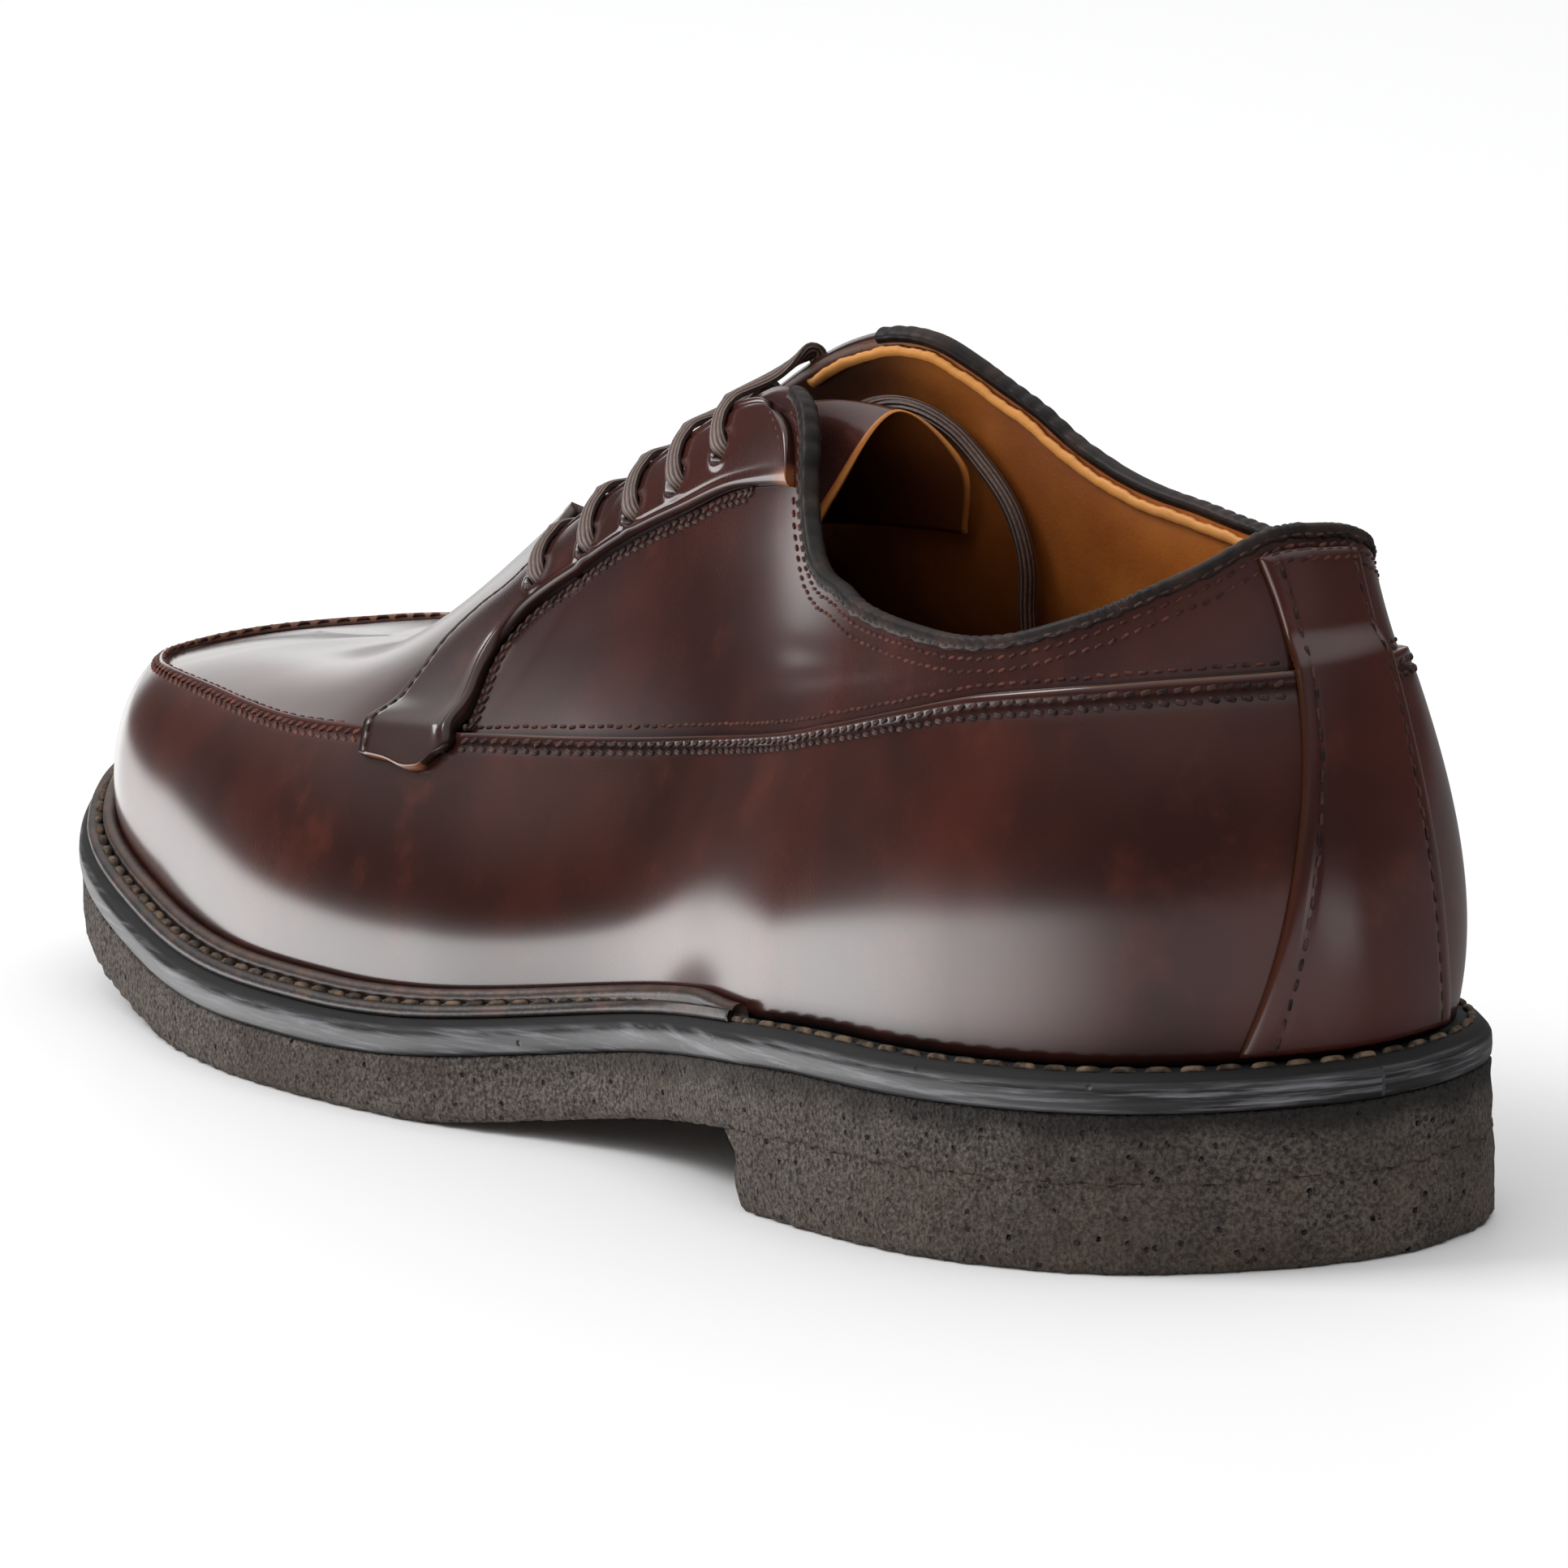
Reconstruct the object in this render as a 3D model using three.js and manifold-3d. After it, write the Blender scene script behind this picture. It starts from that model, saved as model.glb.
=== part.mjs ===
// Apron toe derby, left shoe: crepe sole, storm welt, one-piece hollow upper and its overlays.
// Millimetres. +Y runs from heel to toe, +X to the inner side of the foot, +Z up from the floor.
import * as THREE from 'three';
import { mergeVertices } from 'three/addons/utils/BufferGeometryUtils.js';
import Module from 'manifold-3d';

// Sole
const SOLE_LENGTH = 302;
const BALL_WIDTH = 104;
const HEEL_STACK = 21.3;
const BALL_STACK = 8.3;
const TOE_SPRING = 16;
const MIDSOLE_THICKNESS = 5.2;
const CREPE_THICKNESS = 9.4;
const CREPE_INSET = 0.3;
const HEEL_LENGTH = 81.5;
const BREAST_FILLET = 2.6;
const INSOLE_THICKNESS = 3;
const INSOLE_CLEARANCE = 1;

// Welt
const WELT_REACH_HEEL = 4.6;
const WELT_REACH_BALL = 6.4;
const WELT_THICKNESS = 1.7;
const WELT_SETBACK = 1.6;
const BEAD_HEIGHT = 3.4;
const BEAD_WIDTH = 1.9;

// Upper
const LAST_HEIGHT = 85.5;
const WALL = 1.8;
const GUARD_STEP = 1.2;
const OVERLAY_THICKNESS = 1.3;
const BINDING_THICKNESS = 0.7;
const BINDING_LEG = 3;
const FACING_SETBACK = 0.8;
const TONGUE_THICKNESS = 1.8;
const TONGUE_GAP = 1.1;

// Lace
const LACE_DIAMETER = 2.5;
const EYELET_DIAMETER = 3.8;
const LACE_RISE = -0.2;
const LACE_DIP = 0.9;

const CLEARANCE = 0.3;
// Wider where faceted skins lie on one another
const LAP_CLEARANCE = 0.45;

// Where the arch and the toe spring begin and end, as shares of the length from the heel
const ARCH_START = 0.19;
const ARCH_END = 0.604;
const SPRING_START = 0.66;
const SPRING_POWER = 2.2;
const REACH_START = 0.3;
const REACH_END = 0.55;

function rows(names, values) {
  return values.map((row) => Object.fromEntries(names.map((name, i) => [name, row[i]])));
}

// The rows run round the sole: heel back, outer side, toe, inner side.
// along is a share of the length, side a share of half the ball width.
const OUTLINE = rows(['along', 'side'], [
  [0.000, 0.144], [0.040, -0.423], [0.120, -0.717], [0.250, -0.817], [0.400, -0.731],
  [0.540, -0.942], [0.680, -1.008], [0.810, -0.885], [0.920, -0.687], [0.980, -0.388],
  [1.000, 0.044], [0.975, 0.500], [0.910, 0.788], [0.800, 0.971], [0.700, 1.006],
  [0.580, 0.827], [0.430, 0.615], [0.270, 0.683], [0.120, 0.760], [0.033, 0.592],
]);

// The apron seam, one row for each row of the outline. inset is a share of half the ball width,
// height a share of the last's height; flare, lean and crown are degrees from upright at the
// foot of the wall, just under the seam and just above it.
const SEAM = rows(['inset', 'height', 'flare', 'lean', 'crown'], [
  [0.081, 0.585, 15, 17, 17], [0.092, 0.579, 15, 17, 17], [0.115, 0.544, 14, 18, 18],
  [0.163, 0.453, 13, 20, 20], [0.163, 0.423, 15, 22, 32], [0.192, 0.436, 13, 28, 54],
  [0.192, 0.411, 12, 38, 72], [0.173, 0.369, 13, 50, 76], [0.135, 0.291, 16, 56, 78],
  [0.112, 0.230, 18, 58, 79], [0.106, 0.212, 18, 58, 80], [0.135, 0.240, 18, 58, 79],
  [0.163, 0.305, 16, 56, 78], [0.192, 0.384, 13, 50, 74], [0.202, 0.425, 12, 40, 66],
  [0.173, 0.455, 13, 32, 48], [0.135, 0.452, 14, 24, 30], [0.135, 0.459, 13, 20, 20],
  [0.106, 0.544, 15, 18, 18], [0.087, 0.579, 16, 17, 17],
]);

// The top of the last from heel to toe: open over the heel, a ridge from the instep on.
// slope is the surface's angle from level where it arrives there.
const TOP = rows(['along', 'outer', 'inner', 'height', 'slope'], [
  [0.056, 0.154, 0.154, 1.000, 80], [0.079, -0.212, 0.423, 1.000, 80],
  [0.142, -0.375, 0.500, 1.012, 80], [0.248, -0.327, 0.442, 1.032, 78],
  [0.361, -0.125, 0.183, 1.045, 60], [0.507, 0.010, 0.010, 0.961, 44],
  [0.649, 0.019, 0.019, 0.731, 40], [0.758, 0.058, 0.058, 0.467, 8],
  [0.841, 0.067, 0.067, 0.380, 0], [0.887, 0.067, 0.067, 0.332, 0],
  [0.904, 0.058, 0.058, 0.313, 0],
]);
const RIDGE_START = 5;

// The upper's top edge on each side, counted from the heel back: collar, then lacing edge.
// place counts the rows of the outline, height is 0 at the sole, 1 at the seam, 2 at the top.
const OUTER_EDGE = rows(['place', 'height'], [
  [0, 1.5], [0.3, 1.49], [0.69, 1.37], [1.38, 1.235], [2.05, 1.18], [2.55, 1.24],
  [3.18, 1.36], [3.6, 1.48], [3.72, 1.58], [3.82, 1.7], [4.1, 1.85], [4.25, 1.875],
  [4.7, 1.81], [5, 1.75], [5.3, 1.71], [5.55, 1.68], [5.8, 1.83], [5.95, 2],
]);
const INNER_EDGE = rows(['place', 'height'], [
  [0, 1.5], [0.5, 1.47], [1, 1.39], [1.8, 1.31], [2.4, 1.4], [3.04, 1.57], [3.23, 1.64],
  [3.4, 1.72], [3.57, 1.79], [3.73, 1.86], [3.9, 1.93], [4.15, 1.985], [4.3, 1.985],
  [4.7, 1.89], [5, 1.79], [5.3, 1.73], [5.55, 1.69], [5.8, 1.83], [5.95, 2],
]);
const THROAT_END = 5.95;
const OUTER_CORNER = 4.1;
const INNER_CORNER = 4.15;

// The facing strips beside the laces, from the collar down to the tab: place along the lacing
// edge, and place and height of the rear edge. The first rear place is on the collar.
const OUTER_FACING = rows(['front', 'rear', 'rearHeight'], [
  [4.24, 3.76, 1.6], [4.45, 4.17, 1.61], [4.72, 4.45, 1.585], [5, 4.74, 1.54], [5.28, 5.02, 1.5],
  [5.52, 5.24, 1.45], [5.7, 5.35, 1.38], [5.73, 5.27, 1.29], [5.68, 5.2, 1.19],
  [5.58, 5.14, 1.06], [5.52, 5.1, 0.96], [5.49, 5.12, 0.85],
]);
const INNER_FACING = rows(['front', 'rear', 'rearHeight'], [
  [4.28, 3.44, 1.6], [4.45, 3.9, 1.66], [4.72, 4.28, 1.6], [5, 4.62, 1.52], [5.28, 4.93, 1.45],
  [5.52, 5.14, 1.41], [5.7, 5.24, 1.36], [5.73, 5.26, 1.29], [5.68, 5.2, 1.19],
  [5.58, 5.14, 1.06], [5.52, 5.1, 0.96], [5.49, 5.12, 0.85],
]);
// Height of the lacing edge's lower part, where the strip leaves the throat, by row
const FACING_FRONT = rows(['height'], [
  [2], [2], [2], [2], [2], [1.63], [1.51], [1.37], [1.21], [1.05], [0.95], [0.86],
]);

// Eyelets in each facing: place, and millimetres back from the outer and inner lacing edge
const EYELETS = rows(['place', 'outer', 'inner'], [
  [4.49, 7, 8.5], [4.71, 7.8, 7.8], [4.94, 8, 7], [5.18, 8, 6.6], [5.44, 7.6, 6.6],
]);

// The strap over the heel seam: half widths in outline rows on the outer and inner side
const STRAP = rows(['height', 'outer', 'inner'], [
  [0.02, 0.58, 0.72], [0.2, 0.47, 0.62], [0.5, 0.33, 0.56], [0.8, 0.24, 0.55],
  [1, 0.23, 0.56], [1.2, 0.28, 0.56], [1.4, 0.37, 0.57],
]);

// The tongue from its hidden front to its free end: places of the row on both sides, height of
// its edge and shoulder on the last, gap between shoulder and lining, and how far the middle
// stands above the shoulders, both in millimetres
const TONGUE = rows(['outer', 'inner', 'edge', 'shoulder', 'gap', 'arch'], [
  [6.5, 6.5, 1.5, 1.8, 1.2, 1.6], [6, 6, 1.48, 1.78, 1.2, 1.8], [5.5, 5.5, 1.5, 1.79, 1.4, 0.4],
  [5, 5, 1.52, 1.79, 1.8, 1.4], [4.6, 4.6, 1.48, 1.74, 3.4, 5.6], [4.12, 4, 1.45, 1.67, 3.7, 8],
  [3.86, 3.6, 1.42, 1.6, 3.6, 9.6],
]);

// The lace's free end, tucked in along the lining from the top inner eyelet
const LACE_END = [
  [4.9, -15.0, 90.0], [5.1, -24.7, 94.6], [6.0, -33.7, 98.0], [7.6, -40.6, 98.2],
  [9.7, -46.6, 95.7], [11.6, -51.7, 91.0], [12.8, -55.4, 86.5], [13.5, -57.3, 81.9],
  [14.0, -57.7, 77.2], [14.5, -56.4, 71.6], [15.5, -55.3, 66.0], [17.6, -54.3, 59.9],
  [19.2, -53.1, 55.1], [20.8, -51.9, 50.2], [22.4, -51.7, 45.4], [23.6, -51.5, 40.7],
  [24.2, -51.4, 36.4], [23.3, -50.2, 32.4], [20.2, -47.4, 29.4], [15.9, -44.0, 28.2],
  [11.7, -40.8, 27.5],
];

const HALF_BALL = BALL_WIDTH / 2;
const PLACES = OUTLINE.length;
const TOE = PLACES / 2;
const UP = new THREE.Vector3(0, 0, 1);

function smooth(start, end, value) {
  const t = THREE.MathUtils.clamp((value - start) / (end - start), 0, 1);
  return t * t * (3 - 2 * t);
}

function hermite(a, slopeA, b, slopeB, t) {
  const t2 = t * t;
  const t3 = t2 * t;
  return (2 * t3 - 3 * t2 + 1) * a + (t3 - 2 * t2 + t) * slopeA
    + (3 * t2 - 2 * t3) * b + (t3 - t2) * slopeB;
}

function hermitePoint(a, slopeA, b, slopeB, t) {
  return new THREE.Vector3(
    hermite(a.x, slopeA.x, b.x, slopeB.x, t),
    hermite(a.y, slopeA.y, b.y, slopeB.y, t),
    hermite(a.z, slopeA.z, b.z, slopeB.z, t),
  );
}

// Spacing of the outline's rows, which keeps its curve even
const SPACING_POWER = 0.6;
const SPANS = OUTLINE.map((row, i) => {
  const next = OUTLINE[(i + 1) % PLACES];
  const dx = (next.side - row.side) * HALF_BALL;
  const dy = (next.along - row.along) * SOLE_LENGTH;
  return Math.hypot(dx, dy) ** SPACING_POWER;
});

// Smooth closed curve through one column of a table with a row for each place
function around(table, name, place) {
  const wrapped = ((place % PLACES) + PLACES) % PLACES;
  const index = Math.floor(wrapped);
  const at = (i) => table[(i + PLACES) % PLACES][name];
  const span = (i) => SPANS[(i + PLACES) % PLACES];
  const slope = (i) => {
    const after = (at(i + 1) - at(i)) / span(i);
    const before = (at(i) - at(i - 1)) / span(i - 1);
    return (after * span(i - 1) + before * span(i)) / (span(i) + span(i - 1));
  };
  const width = span(index);
  return hermite(at(index), slope(index) * width, at(index + 1), slope(index + 1) * width, wrapped - index);
}

// Smooth open curve through one column of a table, by its key column or by its row number
function along(table, name, value, key = null) {
  const last = table.length - 1;
  const knot = (i) => (key ? table[i][key] : i);
  let index = 0;
  while (index < last - 1 && value > knot(index + 1)) index += 1;
  const width = knot(index + 1) - knot(index);
  const slope = (i) => {
    if (i === 0 || i === last) return key ? (table[Math.min(i + 1, last)][name] - table[Math.max(i - 1, 0)][name])
      / (knot(Math.min(i + 1, last)) - knot(Math.max(i - 1, 0))) : 0;
    const after = knot(i + 1) - knot(i);
    const before = knot(i) - knot(i - 1);
    const rise = (table[i + 1][name] - table[i][name]) / after;
    const fall = (table[i][name] - table[i - 1][name]) / before;
    return (rise * before + fall * after) / (before + after);
  };
  const t = THREE.MathUtils.clamp((value - knot(index)) / width, 0, 1);
  return hermite(table[index][name], slope(index) * width, table[index + 1][name], slope(index + 1) * width, t);
}

// Heights of the sole along its length
function crepeTop(y) {
  const share = y / SOLE_LENGTH + 0.5;
  const arch = smooth(ARCH_START, ARCH_END, share);
  const spring = THREE.MathUtils.clamp((share - SPRING_START) / (1 - SPRING_START), 0, 1);
  return HEEL_STACK + (BALL_STACK - HEEL_STACK) * arch + TOE_SPRING * spring ** SPRING_POWER;
}

function soleTop(y) {
  return crepeTop(y) + MIDSOLE_THICKNESS;
}

function crepeBottom(y) {
  return Math.max(crepeTop(y) - CREPE_THICKNESS, 0);
}

// The sole's edge, moved inwards by inset
function outlinePoint(place, inset = 0) {
  const step = 0.001;
  const x = around(OUTLINE, 'side', place) * HALF_BALL;
  const y = (around(OUTLINE, 'along', place) - 0.5) * SOLE_LENGTH;
  const dx = (around(OUTLINE, 'side', place + step) - around(OUTLINE, 'side', place - step)) * HALF_BALL;
  const dy = (around(OUTLINE, 'along', place + step) - around(OUTLINE, 'along', place - step)) * SOLE_LENGTH;
  const length = Math.hypot(dx, dy);
  const out = new THREE.Vector3(-dy / length, dx / length, 0);
  return { point: new THREE.Vector3(x, y, 0).addScaledVector(out, -inset), out };
}

// The foot of the upper's wall, where it stands on the sole
function feather(place, inset = 0) {
  const share = around(OUTLINE, 'along', place);
  const reach = WELT_REACH_HEEL + (WELT_REACH_BALL - WELT_REACH_HEEL) * smooth(REACH_START, REACH_END, share);
  const { point, out } = outlinePoint(place, reach + inset);
  point.z = soleTop(point.y) + CLEARANCE;
  return { point, out };
}

function leaning(out, degrees) {
  const angle = THREE.MathUtils.degToRad(degrees);
  return out.clone().multiplyScalar(-Math.sin(angle)).addScaledVector(UP, Math.cos(angle));
}

function topPoint(place) {
  const wrapped = ((place % PLACES) + PLACES) % PLACES;
  const row = Math.min(wrapped, PLACES - wrapped);
  const outer = along(TOP, 'outer', row);
  const inner = along(TOP, 'inner', row);
  let side = wrapped <= TOE ? outer : inner;
  if (row >= RIDGE_START) side = (outer + inner) / 2;
  const y = (along(TOP, 'along', row) - 0.5) * SOLE_LENGTH;
  const z = soleTop(y) + along(TOP, 'height', row) * LAST_HEIGHT;
  return { point: new THREE.Vector3(side * HALF_BALL, y, z), slope: along(TOP, 'slope', row) };
}

// The last: height 0 to 1 is the wall up to the apron seam, 1 to 2 the crown up to the top
function lastPoint(place, height) {
  const { point: foot, out } = feather(place);
  const seam = foot.clone().addScaledVector(out, -around(SEAM, 'inset', place) * HALF_BALL);
  seam.z = soleTop(foot.y) + around(SEAM, 'height', place) * LAST_HEIGHT;
  if (height <= 1) {
    const rise = seam.distanceTo(foot);
    const start = leaning(out, -around(SEAM, 'flare', place)).multiplyScalar(rise);
    const end = leaning(out, around(SEAM, 'lean', place)).multiplyScalar(rise);
    return hermitePoint(foot, start, seam, end, Math.max(height, 0));
  }
  const { point: top, slope } = topPoint(place);
  const rise = top.distanceTo(seam);
  const inward = top.clone().sub(seam).setZ(0).normalize();
  const start = leaning(out, around(SEAM, 'crown', place)).multiplyScalar(rise);
  const angle = THREE.MathUtils.degToRad(slope);
  const end = inward.multiplyScalar(Math.cos(angle)).addScaledVector(UP, Math.sin(angle)).multiplyScalar(rise);
  return hermitePoint(seam, start, top, end, height - 1);
}

function plainNormal(place, height) {
  const step = 0.01;
  const low = Math.max(height - step, 0);
  const high = Math.min(height + step, 2);
  const across = lastPoint(place + step, height).sub(lastPoint(place - step, height));
  const rise = lastPoint(place, high).sub(lastPoint(place, low));
  return rise.cross(across).normalize();
}

// Outward direction of the last, shared by both sides along the ridge
function lastNormal(place, height) {
  const normal = plainNormal(place, height);
  const wrapped = ((place % PLACES) + PLACES) % PLACES;
  const row = Math.min(wrapped, PLACES - wrapped);
  if (height > 1.999 && row >= RIDGE_START) normal.add(plainNormal(PLACES - wrapped, height)).normalize();
  return normal;
}

function skin(place, height, offset) {
  return lastPoint(place, height).addScaledVector(lastNormal(place, height), offset);
}

// The leather above the seam lies one step lower than the guard below it
function coverLevel(height) {
  const start = 1.03;
  const end = 1.14;
  return -GUARD_STEP * smooth(start, end, height);
}

function edgeHeight(place) {
  const wrapped = ((place % PLACES) + PLACES) % PLACES;
  const outer = wrapped <= TOE;
  const row = outer ? wrapped : PLACES - wrapped;
  if (row > THROAT_END - 1e-6) return 2;
  return along(outer ? OUTER_EDGE : INNER_EDGE, 'height', row, 'place');
}

// The place and height reached by going a short way over the last, given as a vector along it
function moved(place, height, way) {
  const step = 0.01;
  const across = lastPoint(place + step, height).sub(lastPoint(place - step, height)).divideScalar(2 * step);
  const rise = lastPoint(place, height).sub(lastPoint(place, height - step)).divideScalar(step);
  const [aa, ab, bb] = [across.dot(across), across.dot(rise), rise.dot(rise)];
  const [wa, wb] = [across.dot(way), rise.dot(way)];
  const area = aa * bb - ab * ab;
  return [place + (wa * bb - wb * ab) / area, height + (wb * aa - wa * ab) / area];
}

// At the top edge: its point, the normal there and the way up across the edge
function rim(place) {
  const step = 0.02;
  const height = edgeHeight(place);
  const run = lastPoint(place + step, edgeHeight(place + step))
    .sub(lastPoint(place - step, edgeHeight(place - step)));
  const normal = lastNormal(place, height);
  const upward = run.cross(normal).normalize();
  if (upward.z < 0) upward.negate();
  return { point: lastPoint(place, height), height, normal, upward };
}

function belowRim(place, distance) {
  const { height, upward } = rim(place);
  return moved(place, height, upward.multiplyScalar(-distance));
}

// A closed body built from triangles whose corners are shared when they coincide
class Body {
  constructor() {
    this.points = [];
    this.faces = [];
    this.index = new Map();
  }

  corner(point) {
    const key = point.toArray().map((value) => Math.round(value * 1e4)).join();
    if (!this.index.has(key)) {
      this.index.set(key, this.points.length / 3);
      this.points.push(point.x, point.y, point.z);
    }
    return this.index.get(key);
  }

  triangle(a, b, c) {
    const [i, j, k] = [this.corner(a), this.corner(b), this.corner(c)];
    if (i !== j && j !== k && k !== i) this.faces.push(i, j, k);
  }

  quad(a, b, c, d) {
    if (a.distanceToSquared(c) <= b.distanceToSquared(d)) {
      this.triangle(a, b, c);
      this.triangle(a, c, d);
    } else {
      this.triangle(b, c, d);
      this.triangle(b, d, a);
    }
  }

  // Rings of corners, each joined to the next; keep says which quads are made
  rings(rings, closed, keep = () => true) {
    const count = closed ? rings.length : rings.length - 1;
    for (let i = 0; i < count; i += 1) {
      const ring = rings[i];
      const next = rings[(i + 1) % rings.length];
      for (let j = 0; j < ring.length; j += 1) {
        const k = (j + 1) % ring.length;
        if (keep(i, j)) this.quad(ring[j], next[j], next[k], ring[k]);
      }
    }
  }

  // A flat-ended cap over one ring, joined as a strip between its two halves
  cap(ring, reversed) {
    const count = ring.length;
    for (let j = 0; j < count / 2 - 1; j += 1) {
      const quad = [ring[j], ring[j + 1], ring[count - 2 - j], ring[count - 1 - j]];
      if (reversed) quad.reverse();
      this.quad(...quad);
    }
  }

  geometry() {
    const [p, f] = [this.points, this.faces];
    let volume = 0;
    for (let i = 0; i < f.length; i += 3) {
      const [a, b, c] = [0, 1, 2].map((n) => new THREE.Vector3().fromArray(p, f[i + n] * 3));
      volume += a.dot(b.cross(c));
    }
    const geometry = new THREE.BufferGeometry();
    geometry.setAttribute('position', new THREE.Float32BufferAttribute(p, 3));
    geometry.setIndex(volume < 0 ? f.slice().reverse() : f);
    return geometry;
  }
}

// Solids with a skin on both sides: a grid of corners outside and one inside, closed at the rim
function shell(outside, inside) {
  const body = new Body();
  const [count, width] = [outside.length, outside[0].length];
  const rings = outside.map((row, i) => [...row, ...inside[i].slice().reverse()]);
  body.rings(rings, false);
  body.cap(rings[0], false);
  body.cap(rings[count - 1], true);
  if (width < 2) throw new Error('a shell needs two columns');
  return body.geometry();
}

function steps(count) {
  return Array.from({ length: count + 1 }, (_, i) => i / count);
}

// Places round the shoe: even ones, with the corners of the top edge kept among them
function upperPlaces() {
  const spacing = 1 / 3;
  const least = 0.09;
  const side = (edge) => {
    const fixed = edge.map((row) => row.place);
    const even = steps(Math.round(TOE / spacing)).map((share) => share * TOE);
    const all = even.filter((value) => fixed.every((other) => Math.abs(other - value) > least));
    return [...fixed, ...all].sort((a, b) => a - b);
  };
  const outer = side(OUTER_EDGE);
  const inner = side(INNER_EDGE).map((place) => PLACES - place).reverse();
  return [...outer, ...inner.slice(1, -1)];
}

const materials = {
  leather: { color: 0x4a241d, roughness: 0.28, metalness: 0 },
  overlay: { color: 0x42201b, roughness: 0.3, metalness: 0 },
  binding: { color: 0x1f1513, roughness: 0.4, metalness: 0 },
  lining: { color: 0xb4651f, roughness: 0.6, metalness: 0 },
  welt: { color: 0x33211a, roughness: 0.5, metalness: 0 },
  midsole: { color: 0x1b1a1b, roughness: 0.35, metalness: 0 },
  crepe: { color: 0x544c46, roughness: 0.9, metalness: 0 },
  lace: { color: 0x3a2420, roughness: 0.6, metalness: 0 },
};

function piece(name, geometry, finish) {
  const mesh = new THREE.Mesh(geometry, new THREE.MeshStandardMaterial(materials[finish]));
  mesh.name = name;
  return mesh;
}

// Booleans
const wasm = await Module();
wasm.setup();

function solid(geometry) {
  const plain = geometry.clone();
  plain.deleteAttribute('normal');
  plain.deleteAttribute('uv');
  const merged = mergeVertices(plain, 1e-4);
  return new wasm.Manifold(new wasm.Mesh({
    numProp: 3,
    vertProperties: Float32Array.from(merged.attributes.position.array),
    triVerts: Uint32Array.from(merged.index.array),
  }));
}

function meshed(body) {
  const mesh = body.getMesh();
  const geometry = new THREE.BufferGeometry();
  geometry.setAttribute('position', new THREE.BufferAttribute(Float32Array.from(mesh.vertProperties), 3));
  geometry.setIndex(Array.from(mesh.triVerts));
  return geometry;
}

// The plates of the sole are rings at several heights, closed across from side to side
const SOLE_STEPS = 38;

function ringPlaces(firstPlace, lastPlace) {
  return steps(SOLE_STEPS).map((share) => firstPlace + (lastPlace - firstPlace) * share);
}

function soleRing(places, inset, heightAt) {
  return places.map((place) => {
    const { point } = outlinePoint(place, inset);
    point.z = heightAt(point.y);
    return point;
  });
}

function plate(inset, bottomAt, topAt) {
  const outer = ringPlaces(0, TOE);
  const places = [...outer, ...outer.slice().reverse().map((place) => PLACES - place)];
  const body = new Body();
  const rings = [soleRing(places, inset, bottomAt), soleRing(places, inset, topAt)];
  body.rings(rings, false);
  body.cap(rings[0], false);
  body.cap(rings[1], true);
  return body.geometry();
}

function midsole() {
  return plate(0, (y) => crepeTop(y) + CLEARANCE, soleTop);
}

function outsole() {
  return plate(CREPE_INSET, crepeBottom, crepeTop);
}

// Heel block under the crepe, with a concave front face that ends in a fillet
function heelBlock() {
  const breast = -SOLE_LENGTH / 2 + HEEL_LENGTH;
  const placeAt = (y, low, high) => {
    let [a, b] = [low, high];
    for (let i = 0; i < 40; i += 1) {
      const middle = (a + b) / 2;
      if (outlinePoint(middle, CREPE_INSET).point.y < y) a = middle;
      else b = middle;
    }
    return (a + b) / 2;
  };
  const topAt = (y) => crepeBottom(y) - LAP_CLEARANCE;
  const levels = [[0, 0], [0.62, 0], [0.84, 0.3], [1, 1]];
  const body = new Body();
  const heelSteps = 16;
  const rings = levels.map(([level, fillet]) => {
    const front = breast + BREAST_FILLET * fillet;
    const outerEnd = placeAt(front, 1, 5);
    const outer = steps(heelSteps).map((share) => share * outerEnd);
    const innerEnd = PLACES - placeAtInner(front);
    const inner = steps(heelSteps).map((share) => PLACES - share * innerEnd).reverse();
    return soleRing([...outer, ...inner], CREPE_INSET, (y) => level * topAt(y));
  });
  body.rings(rings, false);
  body.cap(rings[0], false);
  body.cap(rings[rings.length - 1], true);
  return body.geometry();
}

function placeAtInner(y) {
  let [a, b] = [PLACES - 5, PLACES - 1];
  for (let i = 0; i < 40; i += 1) {
    const middle = (a + b) / 2;
    if (outlinePoint(middle, CREPE_INSET).point.y > y) a = middle;
    else b = middle;
  }
  return (a + b) / 2;
}

// Insole inside the foot of the upper
function insole() {
  const outer = ringPlaces(0, TOE);
  const places = [...outer, ...outer.slice().reverse().map((place) => PLACES - place)];
  const inset = GUARD_STEP + WALL + INSOLE_CLEARANCE;
  const ring = (lift) => places.map((place) => {
    const { point } = feather(place, inset);
    point.z += lift;
    return point;
  });
  const body = new Body();
  const rings = [ring(0), ring(INSOLE_THICKNESS)];
  body.rings(rings, false);
  body.cap(rings[0], false);
  body.cap(rings[1], true);
  return body.geometry();
}

// Welt strip round the forefoot with a raised bead against the upper
const WELT_OUTER_END = 3.2;
const WELT_INNER_END = 3.4;
const BEAD_ROUND = 0.6;

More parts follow.
